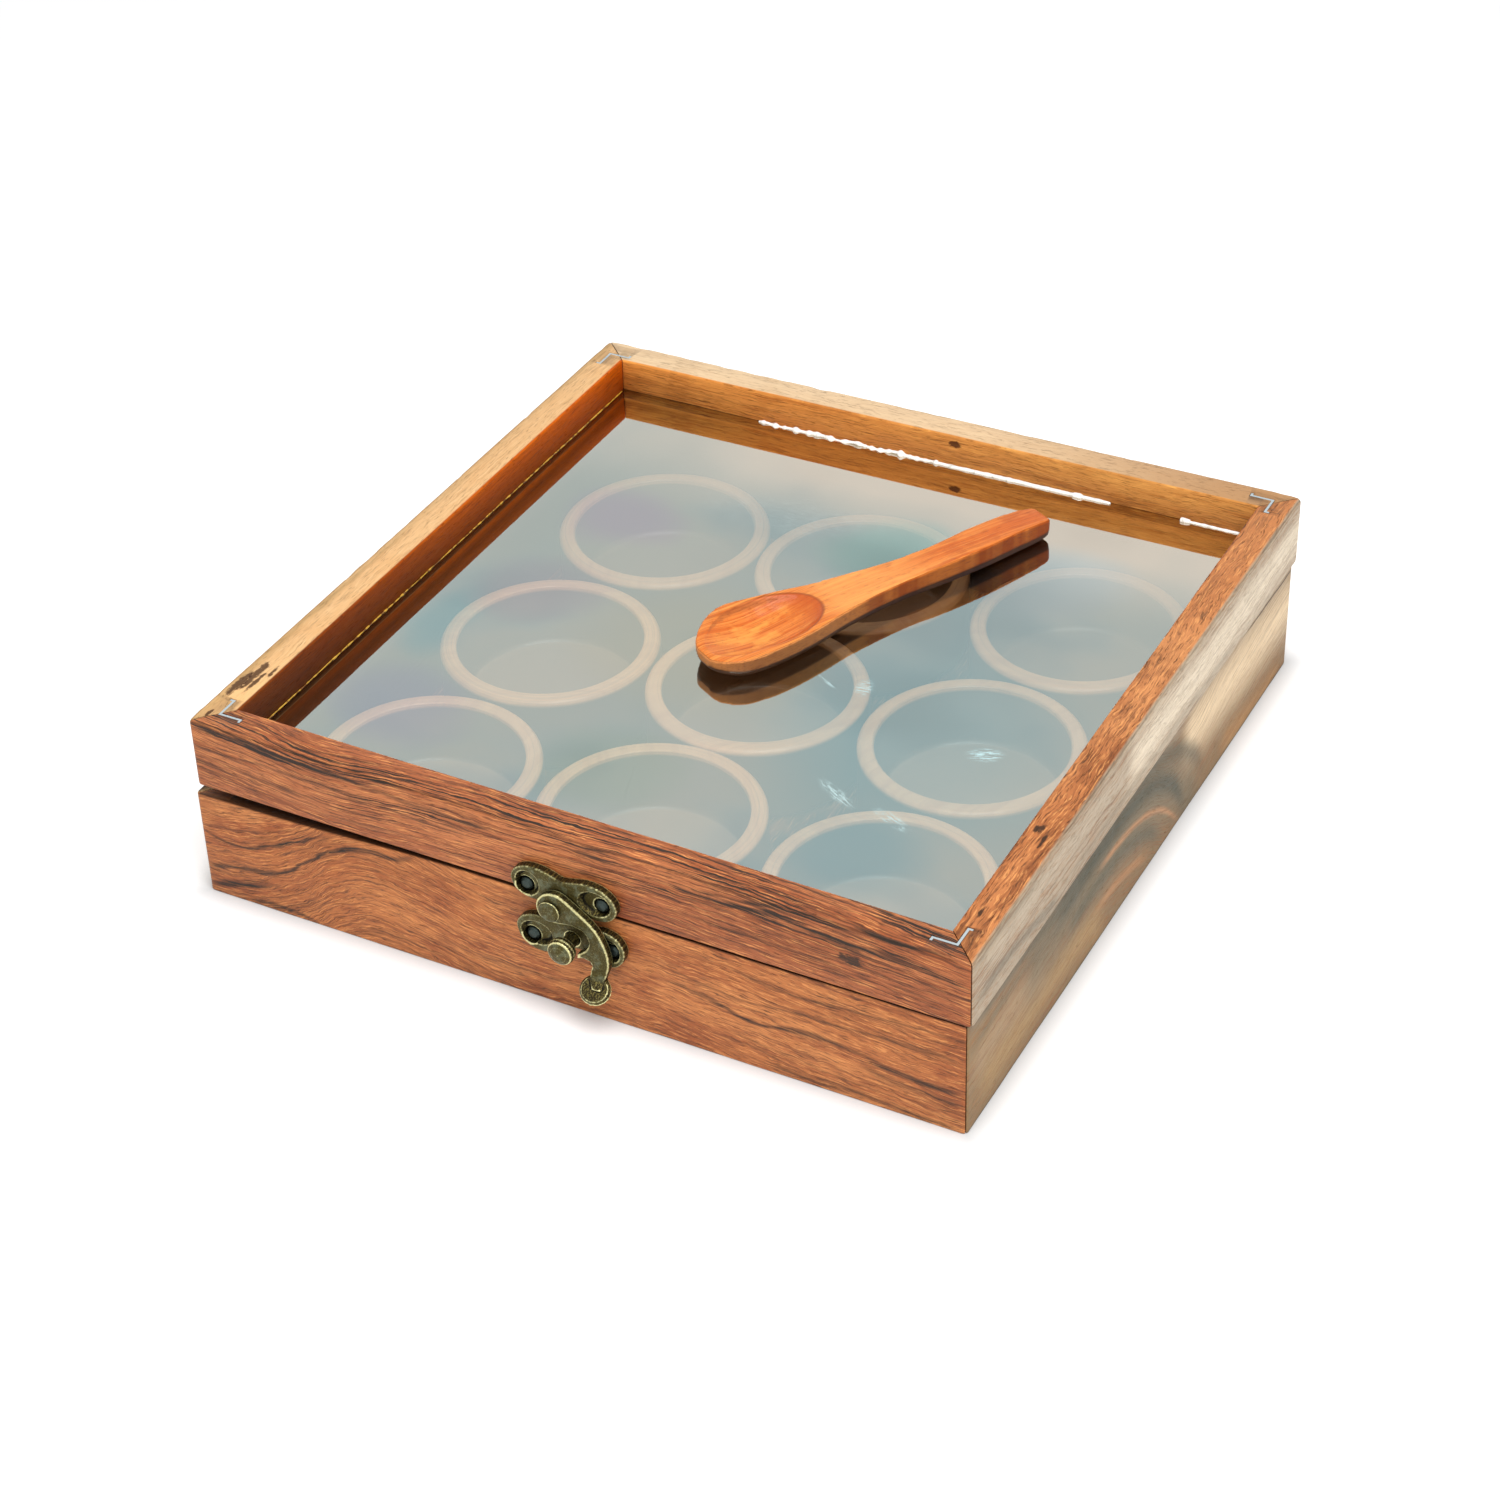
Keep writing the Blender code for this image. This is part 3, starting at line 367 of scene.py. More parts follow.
class Board:
    """The wood of one board: directions and patterns first, then layers of colour on each other."""

    def __init__(self, name, look):
        t = Tree(name)
        x, y, z = t.place()
        x = x - look["shift"]
        along, across, sign = {
            "front": (x, y, 1),
            "right": (y, x, -1),
            "back": (x, y, -1),
            "left": (y, x, 1),
        }[look["side"]]
        inward = across * sign + HALF / MM
        seed = look["seed"]
        unrolled = z + inward * 0.8
        flow = along.along(look["flow"], FLOW_RANGE) if look["flow"] else 0.0
        bow = (t.noise(along * 0.012, unrolled * 0.03, seed, 1) - 0.5) * 5
        sway = (t.noise(along * 0.05, unrolled * 0.14, seed + 3, 2) - 0.5) * look["sway"]
        shake = (t.noise(along * 0.22, unrolled * 0.5, seed + 7, 2) - 0.5) * look["shake"]
        layer = unrolled - flow + bow + sway + shake
        self.tree = t
        self.look = look
        self.along = along
        self.inward = inward
        self.height = z
        self.unrolled = unrolled
        self.layer = layer
        self.tone = t.noise(along * 0.012, layer * 0.07, seed + 5, 2)
        self.band = t.noise(along * 0.007, layer * 0.4, seed + 11, 3, 0.55)
        self.line = t.noise(along * 0.022, layer * 1.25, seed + 23, 4, 0.65)
        self.hair = t.noise(along * look["curl"], layer * 2.6, seed + 37, 3, 0.6)
        self.pore = t.noise(along * 0.3, layer * 4.2, seed + 43, 1)
        self.patch = t.noise(along * 0.05, unrolled * 0.1, seed + 67, 3, 0.6)
        self.frayed = (t.noise(along * 0.09, unrolled * 0.4, seed + 53, 3) - 0.5) * 2.6
        self.outer = 1 - inward.rising(0.3, 1.3)
        self.inner = inward.rising(WALL / MM - 1.0, WALL / MM - 0.4)

    def ground(self):
        """Broad tone, growth bands, lines, and short fibres that catch the light."""
        look = self.look
        mix = self.tree.mix
        dark_hair = 1 - self.hair.rising(0.32, 0.46)
        colour = mix(look["body"], look["light"], self.tone.rising(0.4, 0.7) * 0.8)
        colour = mix(colour, look["deep"], self.patch.rising(0.5, 0.68) * look["patches"])
        colour = mix(colour, look["deep"], self.band.rising(0.48, 0.66) * look["band"])
        colour = mix(colour, look["line"], self.line.rising(0.52, 0.64) * look["lines"])
        colour = mix(colour, look["glow"], self.hair.rising(0.54, 0.66) * look["glint"])
        return mix(colour, look["vein"], dark_hair * look["hair"])

    def dark_lines(self, colour):
        """Zones of dark threads, then single veins."""
        t, look, along = self.tree, self.look, self.along
        seed = look["seed"]
        dark = 0.0
        for low, high, amount in look["streaks"]:
            above = self.unrolled.rising(low - 1.5, low + 1.0)
            below = 1 - self.unrolled.rising(high - 1.0, high + 1.5)
            gaps = t.noise(along * 0.016, self.layer * 0.16, seed + 31, 2).rising(0.38, 0.56)
            threads = t.noise(along * 0.028, self.layer * 1.5, seed + 41, 4, 0.62)
            dark = dark + above * below * gaps * threads.rising(0.48, 0.58) * amount
        swell = t.noise(along * 0.05, seed, 0.0, 2) * 1.3 + 0.35
        uneven = 0.55 + 0.45 * self.line.rising(0.4, 0.6)
        for points, thick, amount in look["veins"]:
            gap = abs(self.unrolled + self.frayed - along.along(points, PATH_RANGE))
            near = 1 - (gap / (swell * thick)).rising(0.15, 1.0)
            dark = dark + near * reach(along, points, 6) * amount * uneven
        if isinstance(dark, Value):
            colour = t.mix(colour, look["vein"], dark.bounded())
        return colour

    def aged_and_shaded(self, colour):
        """Where the top and the outside have evened out, faded or darkened, and painted shade along
        the top's outer edge.
        """
        t, look = self.tree, self.look
        not_inner = 1 - self.inner
        colour = t.mix(colour, look["light"], not_inner * look["calm"])
        if "fade" in look:
            tint, share, start, end = look["fade"]
            colour = t.mix(colour, tint, self.along.rising(start, end) * not_inner * share)
        # Painted shade along the outer edge of the top
        if "shaded" in look:
            tint, share, end = look["shaded"]
            cast = 1 - (self.inward + self.frayed * 1.2).rising(0.3, end)
            uneven = 0.4 + 0.6 * self.band.rising(0.4, 0.62)
            colour = t.mix(colour, tint, cast * uneven * share)
        return colour

    def knots(self, colour):
        """Torn dark spots, then the pores."""
        t, look = self.tree, self.look
        for at, level, wide, high, inside in look["knots"]:
            gap = ellipse(self.along, self.unrolled, (at, level), (wide, high))
            torn = t.noise(self.along * 0.35, self.unrolled * 0.7, look["seed"] + 61, 4, 0.65)
            spot = (1 - gap * 0.7 + (torn - 0.5) * 2.4).rising(0.25, 0.8)
            side = self.inner if inside else 1 - self.inner
            colour = t.mix(colour, look["vein"], spot * side * 0.9)
        return t.mix(colour, look["vein"], self.pore.rising(0.64, 0.72) * look["pores"])

    def outer_face(self, colour):
        """The outer face, which has faded and has marks of its own, some of them painted shade."""
        t, look = self.tree, self.look
        faded = "outer" in look
        if faded:
            tint, share = look["outer"]
            fibres = (self.hair.rising(0.5, 0.62) - 0.5) * 0.18
            threads = self.line.rising(0.5, 0.66) * 0.25 + fibres
            kept = share + (self.tone - 0.5) * 0.4 - threads * look["thread"]
            colour = t.mix(colour, tint, (self.outer * kept).bounded())
        for figure, points, thick, amount in look["figures_and_shade"]:
            path = self.along.along(points, PATH_RANGE)
            near = 1 - (abs(self.unrolled + self.frayed * 0.4 - path) / thick).rising(0.0, 1.1)
            share = near * reach(self.along, points, 12) * amount * self.outer
            colour = t.mix(colour, figure, share)
        if faded:
            grain = self.line.rising(0.46, 0.62) * 0.24 + self.hair.rising(0.5, 0.62) * 0.18
            colour = t.mix(colour, linear(104, 80, 54), grain * self.outer)
        return colour

    def inner_face(self, colour):
        """The inner face, darker from front to back, partly with painted shade, and painted shade
        along the pane, in its groove and below the pane.
        """
        t, look, vein = self.tree, self.look, self.look["vein"]
        if "inner" not in look:
            return colour
        pane = PANE_LEVEL / MM
        # The tint from front to back partly paints the inner face's shade
        tint = t.mix(*look["inner"], self.along.rising(-100, 70))
        colour = t.mix(colour, tint, self.inner, "MULTIPLY")
        # Painted shade where the inner face meets the pane
        foot = self.inner * (1 - self.height.rising(pane, pane + 9))
        colour = t.mix(colour, vein, foot * look["foot"])
        # Painted shade in the groove, and on the inner face below the pane, all over it inside the
        # case
        groove = self.inward.rising(6.0, 6.5) * (1 - self.inner) * (1 - self.height.rising(49, 51))
        below = self.inner * (1 - self.height.rising(pane - 5, pane - 2))
        return t.mix(colour, vein, (groove + below).bounded() * 0.9)

    def edges(self, colour):
        """End grain at the mitre, darker arrises, and painted shade on the faces between lid and
        case.
        """
        t, look = self.tree, self.look
        if "butt" in look:
            ragged = (t.noise(self.height * 0.2, look["seed"], 0.0, 3) - 0.5) * 0.8
            end = 1 - (self.along + ragged).rising(-114.6, -114.2)
            colour = t.mix(colour, look["butt"], end * 0.8)
        # The arrises are darker, more so where the growth bands run
        arris_darkening = 0.3 + self.band.rising(0.4, 0.6) * 0.3
        colour = t.mix(colour, look["vein"], t.attribute("edge") * (1 - self.inner) * arris_darkening)
        # Painted shade on the case's top and the lid's underside, where they face each other
        return t.mix(colour, linear(34, 16, 8), t.attribute("stain") * 0.92)

    def finish(self, colour):
        """The oiled surface, with open pores."""
        rough = 0.46 + (self.hair - 0.5) * 0.3 + self.pore.rising(0.6, 0.75) * 0.2
        relief = self.hair * 0.6 + self.line * 0.5 - self.pore.rising(0.62, 0.72) * 0.8
        return self.tree.surface(
            Base_Color=colour,
            Roughness=rough,
            Normal=self.tree.bump(relief, self.look["relief"]),
            Specular_IOR_Level=self.look["shine"],
        )


def wood(name, look):
    """Planed and oiled wood, whose lines follow the curves that a board's look gives."""
    board = Board(name, {**PLAIN, **look})
    colour = board.ground()
    for layer in (
        board.dark_lines, board.aged_and_shaded, board.knots, board.outer_face, board.inner_face, board.edges
    ):
        colour = layer(colour)
    return board.finish(colour)


RED = {
    "light": linear(222, 138, 76),
    "body": linear(194, 110, 58),
    "deep": linear(158, 84, 44),
    "line": linear(112, 62, 36),
    "glow": linear(244, 166, 98),
    "vein": linear(46, 32, 22),
}
PALE = {
    "light": linear(250, 214, 158),
    "body": linear(240, 194, 130),
    "deep": linear(220, 164, 104),
    "line": linear(176, 120, 64),
    "glow": linear(253, 230, 184),
    "vein": linear(70, 40, 20),
}
BOARDS = {
    "lid_front_rail": dict(
        RED, side="front", shift=1.1, seed=3.1, band=0.8, lines=0.95, hair=0.75, curl=0.11,
        glint=0.65, light=linear(204, 126, 76), body=linear(170, 96, 56),
        butt=linear(214, 170, 120),
        # Painted shade round the latch's upper plate
        figures_and_shade=((linear(104, 32, 12), ((-24, 41), (2, 40), (28, 38)), 8.0, 0.45),),
        flow=((-120, 3), (-100, 1), (-75, -2), (-40, 0), (0, 0), (40, -1), (80, -4), (120, -8)),
        streaks=((50, 64, 1.0), (40, 50, 0.55)),
        knots=((82, 46, 4.2, 1.9, False),),
        veins=(
            (((30, 52), (44, 51), (62, 52.6), (72, 51.2), (83, 50.7), (94, 50.5), (114, 48)),
             1.4, 0.85),
            (((36, 53), (53, 54.3), (67, 55.4), (91, 55.8), (112, 57)), 1.1, 0.75),
            (((20, 44), (41, 43.8), (58, 43.3), (80, 42)), 0.8, 0.5),
            (((-116, 58), (-103, 56.5), (-91, 54.8), (-75, 54.6), (-60, 54), (-41, 52.4),
              (-20, 52)), 1.3, 0.75),
            (((-116, 50), (-98, 49.9), (-79, 50.1), (-60, 48.9), (-38, 47.7)), 0.8, 0.5),
        ),
    ),
    "base_front_wall": dict(
        RED, side="front", seed=7.7, band=0.6, lines=0.6, hair=0.6, sway=2.6, shake=1.3, glint=0.55,
        patches=0.75, curl=0.18, light=linear(212, 138, 80), body=linear(184, 110, 60),
        butt=linear(214, 170, 120),
        # Painted shade round the latch on the case
        figures_and_shade=((linear(112, 38, 16), ((-20, 27), (4, 26), (32, 26)), 9.0, 0.4),),
        flow=((-120, -10), (-100, -8), (-84, -2), (-71, 7), (-60, 11), (-45, 10), (-20, 5),
              (20, 5), (45, 3), (65, 1), (90, -1), (120, -3)),
        streaks=((-2, 9, 0.35), (24, 34, 0.3)),
        veins=(
            (((-116, 9), (-100, 12), (-90, 14), (-82, 20), (-71, 28), (-60, 32), (-52, 32),
              (-44, 35)), 1.3, 0.95),
            (((-116, 22), (-104, 19), (-94, 22), (-83, 27), (-72, 34)), 1.0, 0.8),
            (((-116, 2), (-106, 5), (-92, 10)), 2.2, 0.9),
            (((-104, -1), (-90, 2), (-76, -1)), 1.3, 0.7),
            (((28, 20), (44, 18), (55, 15), (68, 17), (79, 17), (94, 14), (104, 13), (116, 13)),
             1.2, 0.9),
            (((84, 12), (97, 10), (116, 9)), 1.8, 0.55),
            (((22, 26), (38, 23), (52, 21), (66, 22.6), (84, 23), (102, 23.7), (116, 23)),
             0.8, 0.6),
            (((48, 31), (66, 28.4), (84, 29.5), (116, 31)), 0.7, 0.55),
            (((58, 2.5), (88, 1.8), (114, 0.8)), 1.4, 0.6),
        ),
    ),
    "lid_right_rail": dict(
        RED, side="right", shift=1.1, seed=12.4, band=0.7, lines=0.6, sway=3.0, curl=0.2, glint=0.6,
        hair=0.7, relief=0.2, thread=1.9, shine=0.15, patches=0.7, light=linear(214, 144, 90),
        body=linear(184, 112, 64), glow=linear(240, 168, 102), deep=linear(138, 78, 42),
        fade=(linear(216, 150, 96), 0.3, -60, 115), outer=(linear(186, 166, 140), 0.88),
        knots=(
            (-59, 62, 2.6, 1.2, False), (-63, 59.8, 4.5, 0.5, False), (-96, 61.5, 2.4, 0.6, False),
        ),
        figures_and_shade=(
            (linear(128, 118, 100), ((-116, 41), (-100, 43), (-80, 41), (-56, 37)), 3.2, 0.7),
            (linear(150, 136, 114), ((-118, 54), (-96, 55), (-70, 52)), 2.2, 0.6),
            (linear(214, 198, 174), ((-112, 50), (-60, 50), (0, 49), (114, 50)), 5.0, 0.4),
            (linear(254, 236, 208), ((-20, 48), (60, 46), (132, 46)), 12.0, 0.85),
            (linear(156, 142, 120), ((-60, 40), (0, 40), (70, 39)), 2.0, 0.4),
        ),
    ),
    "base_right_wall": dict(
        RED, side="right", seed=15.2, band=0.4, thread=2.0, shine=0.12,
        outer=(linear(146, 118, 82), 0.88),
        flow=((-120, 0), (-60, 4), (-30, 6), (0, 0), (30, -12), (60, -6), (120, 0)),
        figures_and_shade=(
            (linear(198, 160, 106), ((-112, 10), (-80, 10), (-49, 10), (-22, 5)), 9.0, 0.5),
            (linear(198, 180, 156), ((-118, 36), (0, 36), (118, 34)), 7.0, 0.5),
            (linear(190, 160, 124), ((-118, 18), (-100, 20), (-84, 20), (-60, 14)), 9.0, 0.5),
            (linear(252, 224, 184), ((24, 26), (60, 25), (90, 23), (132, 21)), 16.0, 0.9),
            (linear(200, 146, 88), ((56, 5), (95, 1), (114, 0)), 7.0, 0.6),
            (linear(124, 112, 88),
             ((-84, 25), (-40, 27), (-10, 26), (16, 19), (32, 8), (48, -10)), 18.0, 0.8),
            (linear(84, 82, 66),
             ((-66, 32), (-25, 36), (-5, 36), (18, 30), (36, 19), (50, 3)), 6.5, 0.7),
            (linear(76, 78, 64),
             ((-64, 27), (-43, 30), (-20, 31), (0, 29), (16, 22), (28, 10), (36, -4)), 6.5, 0.9),
            (linear(92, 90, 72), ((-56, 19), (-20, 20), (-3, 16), (8, 10), (18, 0)), 5.5, 0.75),
            (linear(206, 148, 102),
             ((-34, 25), (-15, 24), (-1, 21), (12, 15), (25, 4), (32, -4)), 1.8, 0.7),
            (linear(206, 146, 96), ((-36, 12), (-8, 9), (8, 2)), 2.6, 0.6),
            (linear(100, 94, 76), ((-116, 35), (-95, 34), (-77, 33), (-38, 29)), 4.5, 0.7),
            (linear(118, 106, 84), ((-116, 25), (-90, 28), (-60, 26), (-36, 22)), 3.0, 0.5),
            (linear(92, 80, 54), ((-120, 0), (0, 0), (120, 0)), 1.3, 0.85),
            # Painted shadow of the gap under the lid's edge, towards the back
            (linear(56, 40, 28), ((72, 34.3), (96, 34.0), (128, 33.6)), 0.5, 0.9),
        ),
    ),
    "lid_left_rail": dict(
        PALE, side="left", shift=1.1, seed=21.9, band=0.5, lines=0.4, pores=0.3, shine=0.12,
        calm=0.3, foot=0.2, light=linear(236, 194, 142), body=linear(222, 174, 120),
        glow=linear(244, 208, 160), fade=(linear(242, 190, 126), 0.5, -66, -104),
        shaded=(linear(150, 124, 78), 0.6, 4.5), outer=(linear(176, 128, 76), 0.8),
        # The inner tint, darker at the front, partly paints shade
        inner=(linear(132, 78, 26), linear(232, 136, 28)),
        knots=(
            (-95, 60.4, 7.0, 1.3, False), (-89, 61.6, 8.0, 1.1, False),
            (-92, 63.2, 6.0, 0.6, False), (-86, 64.4, 3.0, 0.6, False),
            (-109, 61.0, 2.4, 0.5, False),
        ),
    ),
    "base_left_wall": dict(
        PALE, side="left", seed=25.3, band=0.6, lines=0.5, hair=0.5, pores=0.3, shine=0.12,
        sway=2.6, patches=0.6, thread=1.5, light=linear(236, 194, 142), body=linear(220, 172, 118),
        deep=linear(184, 136, 88), outer=(linear(186, 146, 98), 0.75),
        # The dark inner tint paints the shade inside the case
        inner=(linear(60, 34, 18), linear(80, 44, 20)),
        flow=((-120, 6), (-70, 2), (-30, -4), (10, 0), (60, 5), (120, 2)),
        figures_and_shade=(
            (linear(142, 106, 64),
             ((-118, 25), (-70, 24), (-30, 18), (10, 20), (70, 26)), 5.0, 0.5),
            (linear(214, 178, 130), ((-90, 10), (-20, 8), (50, 12), (116, 10)), 7.0, 0.5),
            (linear(128, 92, 54), ((-40, 31), (20, 30), (90, 33)), 2.4, 0.5),
        ),
        knots=((62, 19, 3.4, 1.6, False),),
    ),
    "lid_back_rail": dict(
        PALE, side="back", seed=31.6, band=0.7, lines=0.6, hair=0.45, pores=0.3, shine=0.12,
        calm=0.6, foot=0.0, light=linear(232, 202, 162), body=linear(216, 178, 138),
        deep=linear(190, 150, 110), fade=(linear(180, 134, 90), 0.9, 0, 105),
        inner=(linear(254, 192, 118), linear(255, 210, 142)),
        knots=((10.5, 62.6, 2.4, 1.3, True),),
    ),
    "base_back_wall": dict(
        PALE, side="back", seed=35.8, band=0.7, lines=0.6, hair=0.5, pores=0.3, shine=0.12,
        sway=2.4, patches=0.6, thread=1.5, light=linear(238, 196, 150), body=linear(222, 174, 126),
        deep=linear(192, 142, 96), outer=(linear(204, 162, 116), 0.7),
        # The dark inner tint paints the shade inside the case
        inner=(linear(70, 40, 22), linear(90, 50, 26)),
        flow=((-120, 0), (-60, 5), (-10, 3), (40, -5), (80, -3), (120, 2)),
        figures_and_shade=(
            (linear(164, 120, 76), ((-110, 12), (-50, 16), (10, 14), (60, 7), (118, 9)), 6.0, 0.5),
            (linear(232, 194, 148), ((-118, 27), (-30, 30), (60, 26), (118, 28)), 6.0, 0.5),
            (linear(140, 98, 60), ((-20, 5), (40, 3), (100, 5)), 2.2, 0.5),
        ),
    ),
}
FLOOR_LOOK = dict(
    RED, side="right", seed=41.1, light=linear(96, 58, 34), body=linear(78, 44, 26), band=0.5,
)


def cup_wood(name, seed, at):
    """Turned pale wood: rings of the lathe on soft growth bands."""
    t = Tree(name)
    x, y, z = t.place()
    across, along = turned(x, y, (at[0] / MM, at[1] / MM), seed)
    radius = (across * across + along * along) ** 0.5
    layer = across + z * 0.3
    level = z - at[2] / MM
    back = y.rising(-20, 90)
    bands = t.noise(along * 0.02, layer * 0.35, z * 0.05 + seed, 3, 0.6)
    hairs = t.noise(along * 0.1, layer * 2.2, z * 0.6 + seed, 2)
    turning = t.noise(radius * 2.0, z * 2.0, seed, 2)
    colour = t.mix(linear(242, 178, 124), linear(226, 156, 104), bands.rising(0.4, 0.65) * 0.7)
    colour = t.mix(colour, linear(196, 134, 80), hairs.rising(0.55, 0.75) * 0.3)
    colour = t.mix(colour, linear(150, 100, 66), turning.rising(0.5, 0.62) * 0.25 + back * 0.45)

    # Painted shade: below the rim the cup is darker, least so on its inner wall and its floor
    below = 1 - level.rising(CUP_HIGH / MM - 2.2, CUP_HIGH / MM - 0.8)
    beyond_bore = radius - CUP_BORE / MM
    off_ground = level.rising(1.0, 3.0)
    inside = (1 - beyond_bore.rising(0.4, 1.4)) * off_ground
    floor = (1 - beyond_bore.rising(-2.6, -1.6)) * off_ground
    colour = t.mix(colour, linear(88, 56, 34), below)
    colour = t.mix(colour, linear(112, 76, 50), inside * below)
    colour = t.mix(colour, linear(192, 148, 118), floor * (0.5 - back * 0.4))
    relief = turning * 0.6 + hairs * 0.4
    return t.surface(
        Base_Color=colour, Roughness=0.24 + bands * 0.12, Normal=t.bump(relief, 0.03)
    )


def spoon_wood(name, tip, turn):
    """Lacquered orange wood with its grain along the handle."""
    t = Tree(name)
    x, y, z = t.place()
    along, across = turned(x, y, (tip[0] / MM, tip[1] / MM), turn)
    sway = (t.noise(along * 0.03, 0.0, 2.0, 1) - 0.5) * 3
    layer = across + sway + z * 0.6
    bands = t.noise(along * 0.006, layer * 0.5, 8.0, 3, 0.6)
    lines = t.noise(along * 0.03, layer * 2.1, 4.0, 3, 0.6)
    pores = t.noise(along * 0.25, layer * 5.0, z * 4.0, 1)
    cloud = t.noise(along * 0.09, across * 0.2, 6.0, 3, 0.6)
    colour = t.mix(linear(236, 144, 66), linear(214, 110, 40), bands.rising(0.38, 0.62))
    colour = t.mix(colour, linear(150, 62, 20), lines.rising(0.5, 0.66) * 0.55)
    colour = t.mix(colour, linear(246, 172, 88), (1 - lines.rising(0.3, 0.46)) * 0.5)
    neck = along.rising(34, 46) * (1 - along.rising(60, 84))
    colour = t.mix(colour, linear(252, 172, 94), neck * 0.55)
    colour = t.mix(colour, linear(196, 92, 38), along.rising(84, 116) * 0.5)
    blotches = cloud.rising(0.48, 0.64) * along.rising(48, 76)
    colour = t.mix(colour, linear(170, 70, 24), blotches * 0.4)

    # Painted shade in the hollow, on its wall towards the handle and along its edge, and a painted
    # highlight in its middle
    gap = ellipse(along, across, HOLLOW_AT, HOLLOW_HALF)
    hollow = 1 - gap.rising(0.92, 1.0)
    heel_shade = along.rising(18, 36) * gap.rising(0.1, 0.9)
    colour = t.mix(colour, linear(186, 80, 32), hollow * (0.15 + heel_shade * 0.65).bounded())
    # A painted highlight in the middle of the hollow
    bright = hollow * cloud.rising(0.44, 0.62) * (1 - gap.rising(0.2, 0.9))
    colour = t.mix(colour, linear(250, 172, 80), bright * 0.6)
    ring = (1 - abs(gap - 0.97).rising(0.0, 0.09)) * along.rising(6, 34)
    colour = t.mix(colour, linear(124, 46, 16), ring * 0.6)
    colour = t.mix(colour, linear(118, 48, 20), pores.rising(0.62, 0.74) * 0.5)

    # Painted shade: the sides darker than the top, a dark line where they meet it, and the
    # underside below them darker still
    shade = t.attribute("under")
    side = t.mix(linear(184, 84, 24), linear(236, 136, 58), cloud.rising(0.38, 0.58) * 0.8)
    side = t.mix(side, linear(250, 170, 100), (1 - along.rising(36, 62)) * 0.6)
    side = t.mix(side, linear(120, 44, 10), pores.rising(0.52, 0.7) * 0.5)
    colour = t.mix(colour, side, shade.rising(0.1, 0.4) * 0.97)
    colour = t.mix(colour, linear(96, 36, 10), (1 - abs(shade - 0.26).rising(0.0, 0.14)) * 0.6)
    colour = t.mix(colour, linear(44, 19, 8), shade.rising(0.6, 0.9) * 0.94)
    return t.surface(
        Base_Color=colour,
        Roughness=0.3 + lines * 0.14,
        Normal=t.bump(lines * 0.5 - pores.rising(0.62, 0.76), 0.05),
        Coat_Weight=0.1,
        Coat_Roughness=0.15,
        Specular_IOR_Level=0.16,
    )


# Where the pane's haze changes its hue: middle, half width and height in mm, hue and share
HAZE = (
    (-14, -14, 44, 36, linear(246, 250, 232), 0.7),
    (14, 54, 26, 22, linear(192, 240, 234), 0.8),
    (42, 52, 12, 10, linear(176, 220, 246), 0.8),
    (-84, -30, 12, 26, linear(196, 240, 244), 0.6),
    (-76, -72, 26, 22, linear(224, 232, 244), 0.7),
    (-10, -72, 26, 22, linear(220, 242, 230), 0.7),
    (-66, 36, 24, 20, linear(232, 232, 244), 0.8),
    (-70, -6, 24, 20, linear(228, 232, 236), 0.8),
    (66, 60, 26, 24, linear(226, 246, 250), 0.6),
    (60, -30, 50, 60, linear(202, 240, 244), 0.8),
    (66, -78, 24, 20, linear(186, 232, 240), 0.7),
)
# Wiped places and scratches on the pane: middle, half length and width, turn, strength
SCUFFS = (
    (50, -56, 9, 2.4, -0.5, 0.45),
    (68, -60, 8, 2.6, -0.4, 0.4),
    (78.5, -24, 6, 3.4, 0.4, 0.65),
    (36, -10, 3, 5, 0.2, 0.45),
    (3, -24, 6, 1.4, 1.3, 0.45),
    (25, -11.5, 6, 0.8, -0.5, 0.4),
    (-20, 60, 40, 12, 0.1, 0.05),
)


def pane_glass(look):
    """Clear float glass that mirrors the pale room, with a film of dust and fine scratches."""
    t = Tree("pane_glass")
    x, y = t.place()[:2]
    cloud = t.noise(x * 0.012, y * 0.012, 3.0, 3, 0.6)
    tint = t.noise(x * 0.011, y * 0.013, 9.0, 3)
    scratch = t.noise(x * 0.03 + y * 0.9, y * 0.04 - x * 0.02, 5.0, 2)
    specks = t.noise(x * 1.4, y * 1.4, 1.0, 1)
    edge = y.rising(46, 92) * (0.7 + 0.6 * x.rising(-90, -10)) + (1 - x.rising(-106, -90)) * 0.5
    warm = (edge * (cloud * 1.3 + 0.2)).bounded()
    cool = tint.rising(0.46, 0.64)
    sheen = t.mix(linear(238, 250, 243), linear(214, 244, 248), cool * 0.8)
    sheen = t.mix(sheen, linear(254, 243, 226), warm)
    u = x + (cloud - 0.5) * 26
    v = y + (tint - 0.5) * 26
    for across, deep, wide, high, hue, share in HAZE:
        gap = ellipse(u, v, (across, deep), (wide, high))
        sheen = t.mix(sheen, hue, (1 - gap.rising(0.0, 1.0)) * share)
    film = look.mirror + (cloud - 0.5) * 0.05 + warm * 0.2 - tint.rising(0.5, 0.68) * 0.05
    film = film + scratch.rising(0.7, 0.8) * 0.03 + specks.rising(0.72, 0.82) * 0.06

    # Along the left rail the glass mirrors less, and shows the dark inside of the case
    film = film * (1 - (1 - x.rising(-100, -95)) * 0.4)
    for across, deep, wide, high, turn, share in SCUFFS:
        u, v = turned(x, y, (across, deep), turn)
        strokes = t.noise(u * 0.25, v * 1.6, across, 3, 0.7).rising(0.44, 0.62)
        mark = 1 - ellipse(u, v, (0, 0), (wide, high)).rising(0.0, 1.0)
        film = film + mark * strokes * share
    front = 1 - t.node("ShaderNodeNewGeometry", output="Backfacing")
    clear = t.node("ShaderNodeBsdfTransparent", {}, {0: (0.96, 0.98, 0.97, 1.0)})
    inputs = {"Base Color": sheen, "Metallic": 1.0, "Roughness": 0.03}
    gloss = t.node("ShaderNodeBsdfPrincipled", {}, inputs)
    share = (film * front).bounded()
    return t.close(t.node("ShaderNodeMixShader", {}, {0: share, 1: clear, 2: gloss}))


